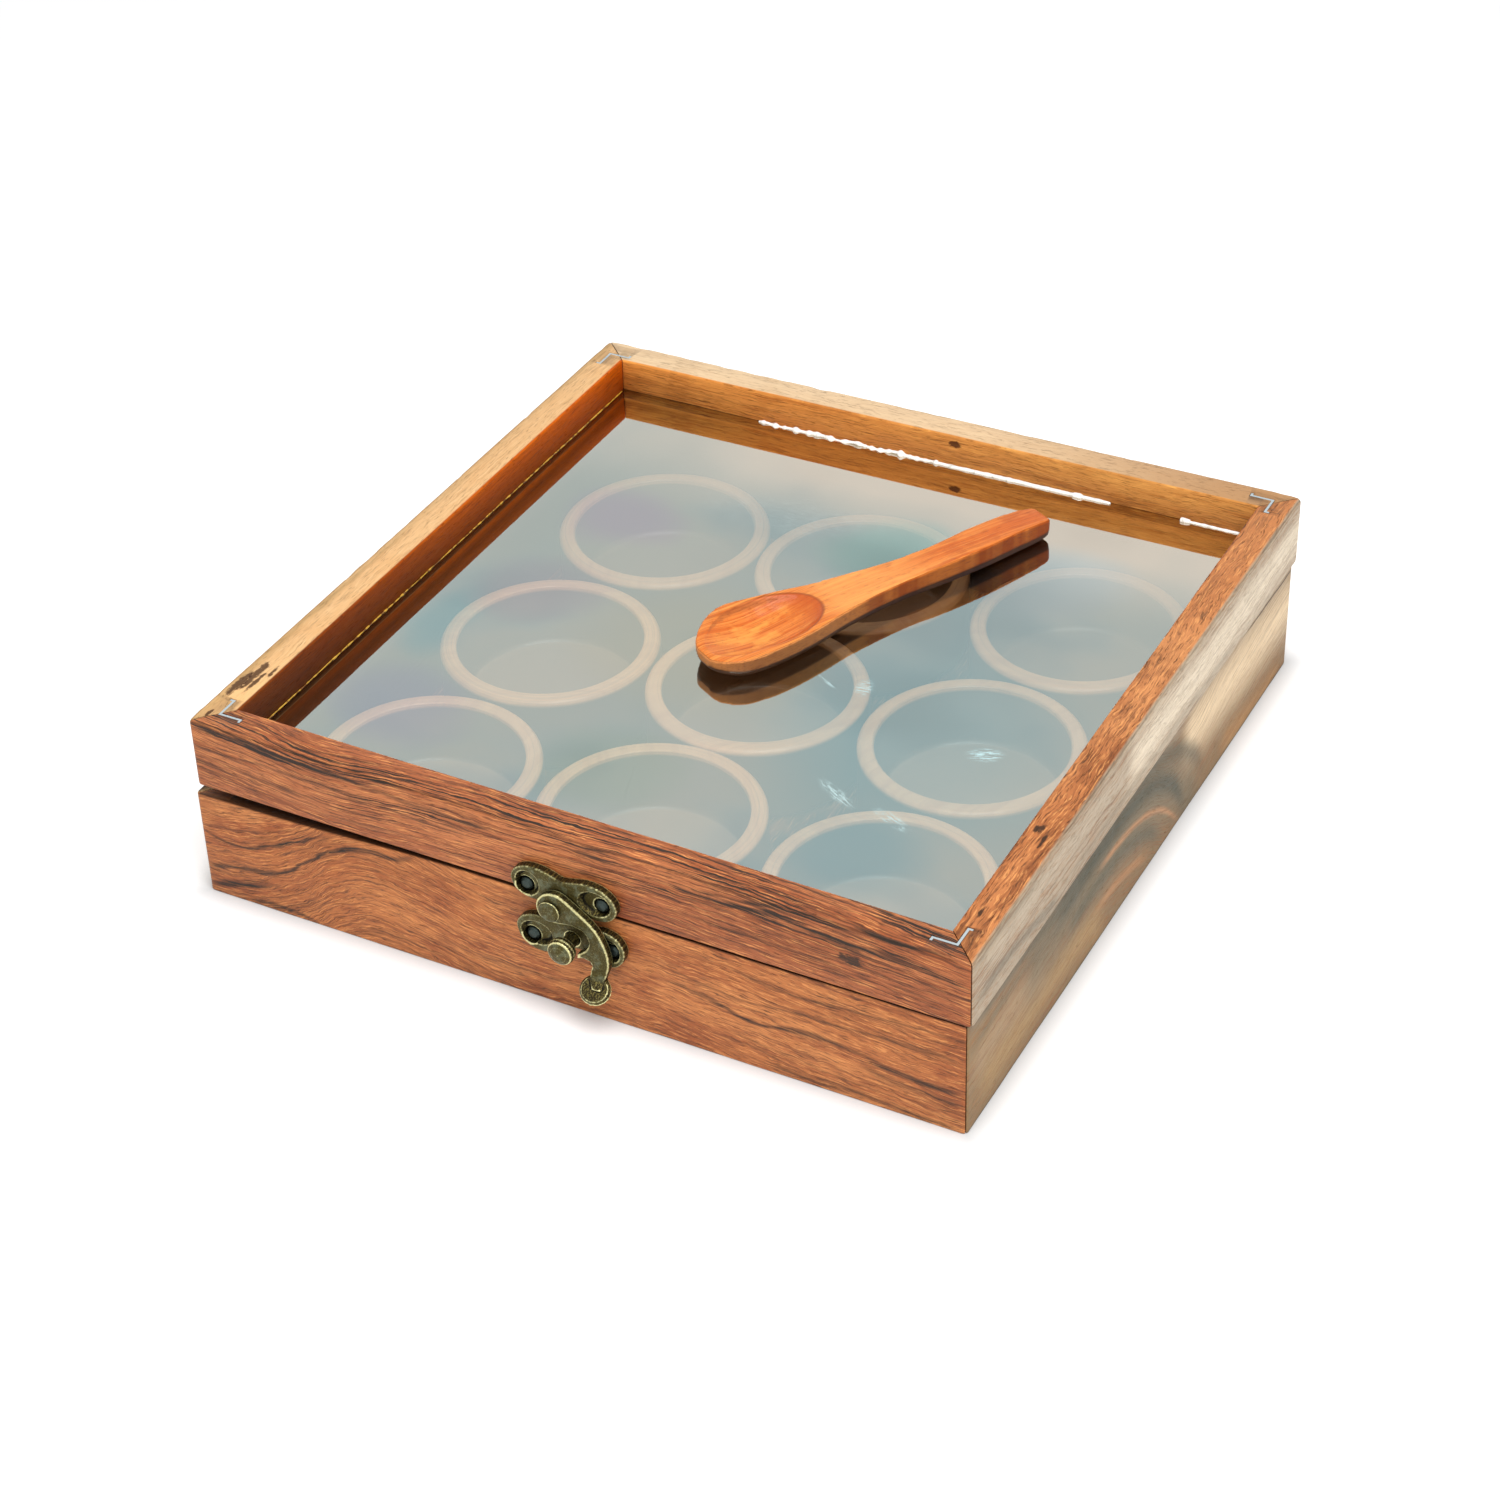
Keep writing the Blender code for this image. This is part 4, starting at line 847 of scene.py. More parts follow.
def antique_brass(name, look):
    """Cast brass: a dull grey-green face, darker ribbed sides in painted shade, edges that are
    rubbed bright with painted highlights, and dirt with painted shade in the hollows.
    """
    t = Tree(name)
    x, y, z = t.place()
    wear = t.attribute("wear")
    grime = t.attribute("grime")
    face = t.attribute("face")
    blotch = t.noise(x * 0.35, y * 0.35, z * 0.35, 4, 0.65)
    fine = t.noise(x * 2.6, y * 2.6, z * 2.6, 3, 0.7)
    ribs = t.noise(x * 2.0, y * 0.3, z * 2.0, 2, 0.6)
    flat = t.mix(look.brass, linear(104, 108, 84), blotch.rising(0.46, 0.66) * 0.8)
    # Sides turned away from the front get painted shade, with their ribs
    sides = t.mix(look.brass_in_shade, linear(112, 100, 52), ribs.rising(0.46, 0.62) * 0.7)
    colour = t.mix(sides, flat, face.rising(0.3, 1.0))
    colour = t.mix(colour, linear(40, 36, 16), fine.rising(0.52, 0.7) * 0.35)
    colour = t.mix(colour, linear(150, 144, 96), (1 - fine.rising(0.34, 0.46)) * 0.3)
    # Edges rubbed bright, which also paints highlights on them
    rubbed = (wear + (fine - 0.5) * 0.6).rising(0.42, 0.8)
    colour = t.mix(colour, look.brass_worn_and_lit, rubbed)
    # Dirt and painted shade in the hollows
    soiled_and_shaded = (grime + (fine - 0.5) * 0.2).rising(0.15, 0.6)
    colour = t.mix(colour, linear(16, 14, 8), soiled_and_shaded * 0.95)
    rough = 0.36 + fine * 0.2 - rubbed * 0.16
    relief = fine * 0.8 + blotch + ribs * (1 - face) * 2.0
    return t.surface(Base_Color=colour, Metallic=0.85, Roughness=rough, Normal=t.bump(relief, 0.16))


def steel(name, bright, dull):
    """Drawn steel with fine scratches and dull spots."""
    t = Tree(name)
    x, y, z = t.place()
    fine = t.noise(x * 3.0, y * 3.0, z * 3.0, 3, 0.7)
    stain = t.noise(x * 0.6, y * 0.6, z * 0.6, 2)
    colour = t.mix(bright, dull, fine.rising(0.5, 0.75) * 0.5)
    colour = t.mix(colour, dull, stain.rising(0.6, 0.8) * 0.4)
    rough = 0.34 + fine * 0.12
    return t.surface(Base_Color=colour, Metallic=0.8, Roughness=rough, Normal=t.bump(fine, 0.03))


def hinge_brass(name):
    """Thin pressed brass, a little tarnished."""
    t = Tree(name)
    x, y, z = t.place()
    cloud = t.noise(x * 0.25, y * 0.25, z * 0.25, 3)
    fine = t.noise(x * 0.6, y * 4.0, z * 4.0, 2)
    colour = t.mix(linear(176, 146, 82), linear(130, 102, 56), cloud.rising(0.4, 0.7))
    colour = t.mix(colour, linear(92, 72, 42), fine.rising(0.55, 0.75) * 0.4)
    rough = 0.3 + cloud * 0.2
    return t.surface(Base_Color=colour, Metallic=0.9, Roughness=rough, Normal=t.bump(fine, 0.02))


def crust(name, colours, stretch, spots, rough):
    """Dried glue or varnish, lumpy and uneven in colour."""
    t = Tree(name)
    x, y, z = t.place()
    cloud = t.noise(x * 0.6, y * stretch, z * 0.6, 3)
    colour = t.mix(*colours, cloud.rising(*spots))
    return t.surface(Base_Color=colour, Roughness=rough, Normal=t.bump(cloud, 0.2))


def only(item):
    """Select one object and make it active."""
    for other in bpy.context.selected_objects:
        other.select_set(False)
    bpy.context.view_layer.objects.active = item
    item.select_set(True)


def cad_copy(node, name):
    """A merged copy of a CAD node's mesh as a new object."""
    item = bpy.data.objects.new(name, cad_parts[node].data.copy())
    bpy.context.collection.objects.link(item)
    only(item)
    bpy.ops.object.mode_set(mode="EDIT")
    bpy.ops.mesh.select_all(action="SELECT")
    bpy.ops.mesh.remove_doubles(threshold=CAD_MERGE)
    bpy.ops.object.mode_set(mode="OBJECT")
    item.data.materials.clear()
    return item


def modifier(item, kind, **settings):
    """Add a modifier with its settings and apply it."""
    only(item)
    made = item.modifiers.new(kind.lower(), kind)
    for name, value in settings.items():
        setattr(made, name, value)
    bpy.ops.object.modifier_apply(modifier=made.name)


def smooth(item, degrees):
    """Shade a piece smooth, apart from edges sharper than an angle."""
    item.data.shade_smooth()
    item.data.set_sharp_from_angle(angle=math.radians(degrees))


def soften(item, voxel, rounds):
    """Remesh a piece and smooth it a little."""
    modifier(item, "REMESH", mode="VOXEL", voxel_size=voxel)
    modifier(item, "SMOOTH", factor=0.5, iterations=rounds)
    item.data.shade_smooth()


def finish_piece(item, material, body, nodes=()):
    """Give a piece its material and body, and hide any CAD nodes that it stands for."""
    item.data.materials.clear()
    item.data.materials.append(material)
    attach(item, body)
    if nodes:
        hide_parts(*nodes)


def dress(node, material):
    """Give a CAD node a better material."""
    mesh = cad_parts[node].data
    mesh.materials.clear()
    mesh.materials.append(material)


def spun(name, profile, at, steps):
    """Turn a profile of radii and heights, drawn from a point on the axis, about it."""
    bpy.ops.mesh.primitive_circle_add(vertices=3, radius=MM, location=(0, 0, 0))
    item = bpy.context.object
    item.name = name
    item.data.name = name
    bpy.ops.object.mode_set(mode="EDIT")
    bpy.ops.mesh.select_mode(type="VERT")
    bpy.ops.mesh.select_all(action="SELECT")
    bpy.ops.mesh.merge(type="CENTER")
    bpy.ops.transform.translate(value=Vector((profile[0][0], 0, profile[0][1])) + Vector(at))
    for (r0, z0), (r1, z1) in zip(profile, profile[1:]):
        bpy.ops.mesh.extrude_region_move(TRANSFORM_OT_translate={"value": (r1 - r0, 0, z1 - z0)})
    bpy.ops.mesh.select_all(action="SELECT")
    bpy.ops.mesh.spin(steps=steps, angle=math.tau, center=at, axis=(0, 0, 1))
    bpy.ops.mesh.select_all(action="SELECT")
    bpy.ops.mesh.remove_doubles(threshold=SPIN_MERGE)
    bpy.ops.mesh.normals_make_consistent(inside=False)
    bpy.ops.object.mode_set(mode="OBJECT")
    return item


def pick(item, kind, test):
    """In edit mode, select only the edges or faces that pass a test."""
    bpy.ops.mesh.select_mode(type=kind)
    bpy.ops.mesh.select_all(action="DESELECT")
    bm = bmesh.from_edit_mesh(item.data)
    for element in bm.edges if kind == "EDGE" else bm.faces:
        if test(element):
            element.select_set(True)
    bmesh.update_edit_mesh(item.data)


def block(name, low, high):
    """A rectangular block between two corners, with its place in its mesh."""
    size = Vector(high) - Vector(low)
    bpy.ops.mesh.primitive_cube_add(size=1, location=(Vector(low) + Vector(high)) / 2)
    item = bpy.context.object
    item.name = name
    item.data.name = name
    item.scale = size
    bpy.ops.object.transform_apply(location=True, rotation=True, scale=True)
    return item


def volume(item):
    """The volume of a piece, which has to be closed."""
    bm = bmesh.new()
    bm.from_mesh(item.data)
    is_open = any(not edge.is_manifold for edge in bm.edges)
    size = bm.calc_volume()
    bm.free()
    if is_open:
        raise RuntimeError(item.name + " isn't closed")
    return size


def subtract(item, tool):
    """Cut a tool out of a piece, and see that no more than the tool has gone."""
    before = volume(item)
    modifier(item, "BOOLEAN", operation="DIFFERENCE", solver="MANIFOLD", object=tool)
    lost = before - volume(item)
    if not -1e-12 <= lost <= volume(tool) * 1.001:
        raise RuntimeError("%s lost %g to %s" % (item.name, lost, tool.name))


def discard(item):
    """Remove a tool that has done its work."""
    bpy.data.objects.remove(item, do_unlink=True)


def bar(name, low, high, eases, cuts, groove=None):
    """A bar along the front: its long edges rounded, grooved, divided, and mitred at both ends."""
    item = block(name, (-HALF, -HALF, low), (HALF, WALL - HALF, high))
    near = 0.1 * MM
    bpy.ops.object.mode_set(mode="EDIT")
    for y, z, radius in eases:
        def at_corner(edge):
            return all(abs(v.co.y - y) < near and abs(v.co.z - z) < near for v in edge.verts)
        pick(item, "EDGE", at_corner)
        bpy.ops.mesh.bevel(offset=radius, segments=4, affect="EDGES")
    if groove:
        bottom, top, deep = groove
        for level in (bottom, top):
            bpy.ops.mesh.select_all(action="SELECT")
            bpy.ops.mesh.bisect(plane_co=(0, 0, level), plane_no=(0, 0, 1))
        pick(item, "FACE", lambda f: f.normal.y > 0.9 and bottom < f.calc_center_median().z < top)
        bpy.ops.mesh.extrude_region_move(TRANSFORM_OT_translate={"value": (0, -deep, 0)})

    # Halve the long edges, divide each half, and cut both ends to the mitre
    for long, number in ((HALF, 1), (HALF / 2, cuts)):
        pick(item, "EDGE", lambda e: abs(e.verts[0].co.x - e.verts[1].co.x) > long)
        bpy.ops.mesh.subdivide(number_cuts=number)
    for sign in (-1, 1):
        bpy.ops.mesh.select_all(action="SELECT")
        bpy.ops.mesh.bisect(
            plane_co=(0, -MITRE_GAP, 0), plane_no=(sign, 1, 0), use_fill=True, clear_outer=True
        )
        for share in (0.3, 0.65, 1.0):
            at = (sign * (HALF - CORNER_R * share), 0, 0)
            bpy.ops.mesh.select_all(action="SELECT")
            bpy.ops.mesh.bisect(plane_co=at, plane_no=(1, 0, 0))
    bpy.ops.object.mode_set(mode="OBJECT")
    return item


def round_corner(point):
    """Where a point of a bar along the front goes when its upright corners are sanded round."""
    x, y, z = point
    over = abs(x) - (HALF - CORNER_R)
    deep = y + HALF
    if over <= 0 or deep >= CORNER_R:
        return Vector(point)
    radius = CORNER_R - deep
    angle = min(over / radius, 1) * math.pi / 4
    x = math.copysign(HALF - CORNER_R + radius * math.sin(angle), x)
    return Vector((x, -HALF + CORNER_R - radius * math.cos(angle), z))


def settle(item, low, high, shift, low_line, high_line, turn, dip):
    """Turn a bar to its side, and let it follow its wound or planed edges, waves and dents."""
    placed = Matrix.Rotation(turn, 3, "Z")
    for vert in item.data.vertices:
        deep = vert.co.y + HALF
        to_corner = math.hypot(HALF - abs(vert.co.x), deep)
        rise = (vert.co.z - low) / (high - low)
        if deep > WALL / 2:
            rise = min(1, rise / GROOVE_STARTS)
        point = placed @ round_corner(vert.co)
        line = low_line(point) * (1 - rise) + high_line(point) * rise
        worn = max(0, 1 - to_corner / CORNER_REACH) ** 2 * dip * max(0, rise - 0.5) * 2
        arris = max(0, 1 - deep / DENT_REACH) * max(0, 1 - (high - vert.co.z) / DENT_REACH)
        dent = max(0, noise.noise(point * 160) - 0.18) * arris * DENT
        wave = noise.noise_vector(point * 30) * WAVE
        ripple = noise.noise_vector(point * 110) * WAVE * 0.35
        point.z += line - worn - dent
        point += wave + ripple
        point += placed @ Vector((0, dent, 0))
        point.x += shift
        vert.co = point


def top_wind(point):
    """How far the lid's top has lifted at a point."""
    return TOP_WIND * (1 + point.x * point.y / HALF ** 2) / 2


def edge_wind(point):
    """How far the lid's lower edge has lifted at a point, or dropped."""
    return EDGE_WIND * point.x * point.y / HALF ** 2 / 2


def level(point):
    """An edge that has stayed straight."""
    return 0


def planed(point):
    """How far the walls' top edge lies below its level at a point."""
    drop = CORNER_DROP
    for v in point.xy:
        t = min(max((v - DROP_STARTS) / (DROP_ENDS - DROP_STARTS), 0), 1)
        drop *= t * t * (3 - 2 * t)
    return -drop


def nail_slots(prefix, up):
    """The slots of four corner nails, a little larger than the nails and open at one end."""
    slots = []
    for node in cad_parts:
        if not node.startswith(prefix):
            continue
        item = cad_copy(node, node + "_slot")
        bpy.ops.object.mode_set(mode="EDIT")
        bpy.ops.mesh.select_all(action="SELECT")
        bpy.ops.mesh.normals_make_consistent(inside=False)
        bpy.ops.transform.shrink_fatten(value=NAIL_ROOM, use_even_offset=True)
        bpy.ops.object.mode_set(mode="OBJECT")
        low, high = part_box(node)
        for vert in item.data.vertices:
            if (vert.co.z > (low.z + high.z) / 2) == (up > 0):
                vert.co.z += up * 2 * MM
        slots.append(item)
    return slots


def hinge_seats():
    """The seats of both hinges: room for the barrel and for the leaves."""
    seats = []
    rise = LEAF_RISE + ROOM
    for side in ("left", "right"):
        low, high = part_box("hinge_%s_base_leaf" % side)
        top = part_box("hinge_%s_lid_leaf" % side)[1].z
        axis = (high.y - BARREL_R, (top + low.z) / 2)
        bpy.ops.mesh.primitive_cylinder_add(
            vertices=32,
            radius=BARREL_R + ROOM,
            depth=high.x - low.x + 2 * ROOM,
            location=((low.x + high.x) / 2, *axis),
            rotation=(0, math.pi / 2, 0),
        )
        barrel = bpy.context.object
        bpy.ops.object.transform_apply(location=True, rotation=True, scale=True)
        leaf = block(
            "leaf_room",
            (low.x - ROOM, low.y - ROOM, axis[1] - rise),
            (high.x + ROOM, axis[0], axis[1] + rise),
        )
        seats += [barrel, leaf]
    return seats


def read(elements, what, width, kind=float):
    """What a mesh says about each of its points or edges, one row for each."""
    values = np.empty(len(elements) * width, kind)
    elements.foreach_get(what, values)
    return values.reshape(-1, width)


def store(item, name, values):
    """Give each point of a piece a number, held between 0 and 1, for its material to read."""
    layer = item.data.attributes.new(name, "FLOAT", "POINT")
    layer.data.foreach_set("value", np.clip(values, 0, 1))


def wear_attributes(item):
    """Store how sharply each point stands out, for rubbed edges and painted highlights, or lies in
    a hollow, for dirt and painted shade.
    """
    mesh = item.data
    count = len(mesh.vertices)
    points = read(mesh.vertices, "co", 3)
    normals = read(mesh.vertices, "normal", 3)
    a, b = read(mesh.edges, "vertices", 2, int).T
    links = np.bincount(np.concatenate((a, b)), minlength=count)

    def around(values):
        """The mean of a value over each point's neighbours."""
        return (np.bincount(a, values[b], count) + np.bincount(b, values[a], count)) / links

    mean = np.stack([around(points[:, axis]) for axis in range(3)], 1)
    bend = ((points - mean) * normals).sum(1)
    for _ in range(2):
        bend = around(bend)
    scale = np.percentile(np.abs(bend), 96)
    store(item, "wear", bend / scale)
    store(item, "grime", -bend / scale)


def facing(item, name, direction, low, high):
    """Store how much each point faces a direction, between two shares."""
    way = Vector(direction)
    store(item, name, [(vert.normal.dot(way) - low) / (high - low) for vert in item.data.vertices])


def arrises(item, name, turn):
    """Store where a board's surface turns from a side to its top or underside."""
    outward = Matrix.Rotation(turn, 3, "Z") @ Vector((0, -1, 0))
    values = [
        min(abs(vert.normal.dot(outward)), abs(vert.normal.z)) for vert in item.data.vertices
    ]
    store(item, name, (np.array(values) - 0.3) / 0.3)


class BoxFinishSettings(PropertyGroup):
    """Colours that a user would change."""

    brass: FloatVectorProperty(
        name="Brass", description="Body colour of the cast brass", subtype="COLOR", size=4,
        default=linear(74, 66, 32), min=0, max=1,
    )
    # The colour of the sides, which paints their shade
    brass_in_shade: FloatVectorProperty(
        name="Dark brass", description="Brass where it has darkened", subtype="COLOR", size=4,
        default=linear(44, 37, 17), min=0, max=1,
    )
    # The colour of the rubbed edges, which also paints their highlights
    brass_worn_and_lit: FloatVectorProperty(
        name="Worn brass", description="Brass where it is rubbed", subtype="COLOR", size=4,
        default=linear(214, 208, 152), min=0, max=1,
    )
    mirror: FloatProperty(
        name="Glass mirror", description="Share of the room that the pane mirrors",
        subtype="FACTOR", default=0.45, min=0, max=1,
    )


class BoxShapeSettings(PropertyGroup):
    """Sizes that a user would change."""

    cup_steps: IntProperty(
        name="Cup steps", description="Steps of the lathe round each cup", default=96, min=12
    )
    cup_rim: FloatProperty(
        name="Cup rim", description="Outer round-over of each cup's rim", subtype="DISTANCE",
        unit="LENGTH", default=1.9 * MM, min=0.1 * MM,
    )
    pane_cells: IntProperty(
        name="Pane cells", description="Cells across the wound pane", default=32, min=4
    )
    seed: IntProperty(
        name="Seed", description="Which waves and dents the boards get", default=7, min=1
    )
    board_cuts: IntProperty(
        name="Board cuts", description="Cuts along each half of a board", default=99, min=8, max=100
    )
    arris: FloatProperty(
        name="Arris", description="Round-over of the lid's outer top edge", subtype="DISTANCE",
        unit="LENGTH", default=0.9 * MM, min=0.1 * MM,
    )
    fine_arris: FloatProperty(
        name="Fine arris", description="Round-over of the other edges", subtype="DISTANCE",
        unit="LENGTH", default=0.45 * MM, min=0.1 * MM,
    )
    corner_dip: FloatProperty(
        name="Corner dip", description="Wear of the lid's top corners", subtype="DISTANCE",
        unit="LENGTH", default=0.4 * MM, min=0,
    )
    casting_voxel: FloatProperty(
        name="Casting cell", description="Cell of the remeshed castings", subtype="DISTANCE",
        unit="LENGTH", default=0.22 * MM, min=0.1 * MM,
    )
    spoon_voxel: FloatProperty(
        name="Spoon cell", description="Cell of the remeshed spoon", subtype="DISTANCE",
        unit="LENGTH", default=0.36 * MM, min=0.2 * MM,
    )


class BoxStageSettings(PropertyGroup):
    """Light and floor."""

    sky: FloatProperty(name="Sky", description="Strength of the even light", default=0.55, min=0)
    key: FloatProperty(
        name="Key lamp", description="Power of the lamp on the right", subtype="POWER",
        unit="POWER", default=14.0, min=0,
    )


class BOX_OT_boards(Operator):
    """Make the four walls and the four rails of the lid, mitred and planed"""

    bl_idname = "box.boards"
    bl_label = "Boards"

    def execute(self, context):
        shape = context.scene.box_shape
        noise.seed_set(shape.seed)
        inner = WALL - HALF
        rails = {}
        walls = {}
        for side, turn in SIDES.items():
            eases = (
                (-HALF, LID_HIGH, shape.arris), (inner, LID_HIGH, shape.fine_arris),
                (-HALF, LID_LOW, shape.fine_arris), (inner, LID_LOW, shape.fine_arris),
            )
            groove = (PANE_LEVEL - PANE_THICK - ROOM, PANE_LEVEL + ROOM, GROOVE)
            rail = bar("rail_" + side, LID_LOW, LID_HIGH, eases, shape.board_cuts, groove)
            settle(rail, LID_LOW, LID_HIGH, LID_X, edge_wind, top_wind, turn, shape.corner_dip)
            rails[side] = rail
            eases = (
                (-HALF, BASE_TOP, shape.fine_arris), (inner, BASE_TOP, shape.fine_arris),
                (-HALF, 0, shape.fine_arris),
            )
            wall = bar("wall_" + side, 0, BASE_TOP, eases, shape.board_cuts)
            settle(wall, 0, BASE_TOP, 0, level, planed, turn, 0)
            walls[side] = wall
        self.fit(rails, walls)
        for side in SIDES:
            for item, node, body in (
                (rails[side], "lid_%s_rail" % side, "lid"),
                (walls[side], "base_%s_wall" % side, "box"),
            ):
                smooth(item, 30)
                # Which faces meet between lid and case, for the painted shade on them
                facing(item, "stain", (0, 0, 1 if body == "box" else -1), 0.75, 0.95)
                arrises(item, "edge", SIDES[side])
                slot = "red_wood" if side in ("front", "right") else "pale_wood"
                finish_piece(item, wood(item.name + "_wood", BOARDS[node]), body, (node,))
        dress("bottom_board", wood("floor_wood", FLOOR_LOOK))
        return {"FINISHED"}

    def fit(self, rails, walls):
        """Cut the bevels, the hinge seats, the rebate and the nail slots."""
        for side in ("back", "left", "right"):
            for board, angle, lift in ((rails[side], LID_BEVEL, 1), (walls[side], BASE_BEVEL, -1)):
                only(board)
                bpy.ops.object.mode_set(mode="EDIT")
                bpy.ops.mesh.select_all(action="SELECT")
                bpy.ops.mesh.bisect(
                    plane_co=(0, HALF - HINGE_INSET - ROOM / math.sin(angle), SPLIT),
                    plane_no=(0, math.sin(angle), -lift * math.cos(angle)),
                    use_fill=True,
                    clear_outer=True,
                )
                bpy.ops.object.mode_set(mode="OBJECT")
        for seat in hinge_seats():
            subtract(rails["back"], seat)
            subtract(walls["back"], seat)
            discard(seat)
        half = HALF - REBATE
        rebate = block("rebate", (-half, -half, -MM), (half, half, FLOOR_HIGH + ROOM))
        for wall in walls.values():
            subtract(wall, rebate)
        discard(rebate)
        for prefix, boards, up in (("lid_corner_nail", rails, 1), ("base_corner_nail", walls, -1)):
            for slot in nail_slots(prefix, up):
                for side, board in boards.items():
                    if side in slot.name:
                        subtract(board, slot)
                discard(slot)


class BOX_OT_metal(Operator):
    """Finish the hinges, the screws and the corner nails"""

    bl_idname = "box.metal"
    bl_label = "Small metal"

    def execute(self, context):
        brass = hinge_brass("hinge_brass")
        bright = steel("corner_nail_steel", linear(196, 208, 212), linear(110, 118, 124))
        plain = steel("screw_steel", linear(96, 112, 122), linear(70, 74, 76))
        dark = steel("latch_nail_steel", linear(58, 68, 64), linear(30, 34, 32))
        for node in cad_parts:
            if "corner_nail" in node:
                dress(node, bright)
            elif "leaf" in node:
                dress(node, brass)
            elif "nail" in node:
                dress(node, dark)
            elif "screw" in node or "pin" in node:
                dress(node, plain)
        return {"FINISHED"}


class BOX_OT_pane(Operator):
    """Make the wound pane of glass"""

    bl_idname = "box.pane"
    bl_label = "Pane"

    def execute(self, context):
        cells = context.scene.box_shape.pane_cells
        size = PANE_HIGH - PANE_LOW
        thick = size.z - TOP_WIND * PANE_WIND
        item = block("pane_of_glass", PANE_LOW, (PANE_HIGH.x, PANE_HIGH.y, PANE_LOW.z + thick))
        bpy.ops.object.mode_set(mode="EDIT")
        pick(item, "EDGE", lambda e: abs(e.verts[0].co.z - e.verts[1].co.z) < thick / 2)
        bpy.ops.mesh.subdivide(number_cuts=cells - 1)
        bpy.ops.object.mode_set(mode="OBJECT")
        lowest = 1 - (size.x / 2 / HALF) * (size.y / 2 / HALF)
        for vert in item.data.vertices:
            wind = (vert.co.x - LID_X) * vert.co.y / HALF ** 2
            vert.co.z += TOP_WIND * (1 + wind - lowest) / 2
        smooth(item, 40)
        glass = pane_glass(context.scene.box_finish)
        finish_piece(item, glass, "lid", ("glass_pane",))
        return {"FINISHED"}


class BOX_OT_glue(Operator):
    """Run the beads of glue and varnish along the pane's back and left edges"""

    bl_idname = "box.glue"
    bl_label = "Glue"

    def execute(self, context):
        white = (linear(252, 252, 250), linear(216, 214, 206))
        glue = crust("dried_glue", white, 0.6, (0.55, 0.75), 0.35)
        self.beads("glue_beads", GLUE, 0.0, glue)
        amber = (linear(204, 160, 56), linear(120, 72, 22))
        varnish = crust("old_varnish", amber, 0.5, (0.46, 0.6), 0.25)
        self.beads("varnish_threads", VARNISH, math.pi / 2, varnish)
        return {"FINISHED"}

    def beads(self, name, lines, turn, material):
        """Make beads along the back rail, and turn them to the side that they belong to."""
        to_side = Matrix.Rotation(turn, 3, "Z")
        beads = []
        for start, end, thick, lumps in lines:
            bpy.ops.mesh.primitive_uv_sphere_add(
                segments=BEAD_SIDES, ring_count=BEAD_RINGS, radius=1, rotation=(0, math.pi / 2, 0)
            )
            item = bpy.context.object
            bpy.ops.object.transform_apply(location=True, rotation=True, scale=True)
            for vert in item.data.vertices:
                u, y, z = vert.co
                x = (start + end) / 2 + u * (end - start) / 2
                lump = max(0, noise.noise(Vector((x * 420, 0, start * 1000))) + 0.1) * lumps
                grow = thick * (1 + lump) / max(0.25, math.sqrt(1 - min(u * u, 0.97)) ** 0.75)
                sag = noise.noise(Vector((x * 150, 3, 0))) * 0.6 * thick * lumps
                placed = to_side @ Vector((x, WALL_INSIDE - thick / 2 + y * grow, 0))
                height = PANE_LEVEL + top_wind(placed) + sag + z * grow * 0.9 + thick / 3
                vert.co = placed + Vector((LID_X, 0, height))
            beads.append(item)
        only(beads[0])
        for item in beads[1:]:
            item.select_set(True)
        bpy.ops.object.join()
        item = bpy.context.object
        item.name = name
        item.data.name = name
        item.data.shade_smooth()
        finish_piece(item, material, "lid")


class BOX_OT_cups(Operator):
    """Turn the nine cups"""

    bl_idname = "box.cups"
    bl_label = "Cups"

    def execute(self, context):
        shape = context.scene.box_shape
        cups = [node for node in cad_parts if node.startswith("cup_")]
        for number, node in enumerate(sorted(cups)):
            low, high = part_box(node)
            at = ((low.x + high.x) / 2, (low.y + high.y) / 2, low.z)
            profile = self.profile(high - low, shape.cup_rim)
            item = spun(node.replace("cup", "turned_cup"), profile, at, shape.cup_steps)
            smooth(item, 35)
            wood_of_cup = cup_wood(item.name + "_wood", number * 0.7 + 0.3, at)
            finish_piece(item, wood_of_cup, node, (node,))
        return {"FINISHED"}

    def profile(self, size, rim):
        """Radii and heights from the middle of the foot to the middle of the floor."""
        outer = (size.x + size.y) / 4
        top = size.z
        lip = rim / 3
        ring = outer - FOOT_RING
        foot = outer - FOOT_ROUND
        bore = CUP_BORE - MM - CUP_FILLET
        points = [(0, FOOT_HOLLOW), (ring - MM, FOOT_HOLLOW), (ring, 0), (foot - 0.2 * MM, 0)]
        points += self.arc((foot, FOOT_ROUND), FOOT_ROUND, -90, 0, 6)
        points += [(outer, top * 0.5)]
        points += self.arc((outer - rim, top - rim), rim, 0, 90, 8)
        points += self.arc((CUP_BORE + lip, top - lip), lip, 90, 180, 4)
        points += [(CUP_BORE - 0.4 * MM, top * 0.6)]
        points += self.arc((bore, CUP_FLOOR + CUP_FILLET), CUP_FILLET, 0, -90, 8)
        points += [(CUP_BORE * 0.5, CUP_FLOOR - 0.1 * MM), (0, CUP_FLOOR)]
        return points

    def arc(self, centre, radius, start, end, steps):
        """Points on an arc, from one angle to another."""
        points = []
        for i in range(steps + 1):
            angle = math.radians(start + (end - start) * i / steps)
            x = centre[0] + radius * math.cos(angle)
            points.append((x, centre[1] + radius * math.sin(angle)))
        return points


class BOX_OT_spoon(Operator):
    """Smooth the carved spoon"""

    bl_idname = "box.spoon"
    bl_label = "Spoon"

    def execute(self, context):
        item = cad_copy("spoon", "carved_spoon")
        soften(item, context.scene.box_shape.spoon_voxel, 4)
        # How far each point faces down, for the spoon's painted shade
        facing(item, "under", (0, 0, -1), -0.85, 0.35)
        finish = spoon_wood("spoon_wood", SPOON_TIP, SPOON_TURN)
        finish_piece(item, finish, "spoon", ("spoon",))
        return {"FINISHED"}


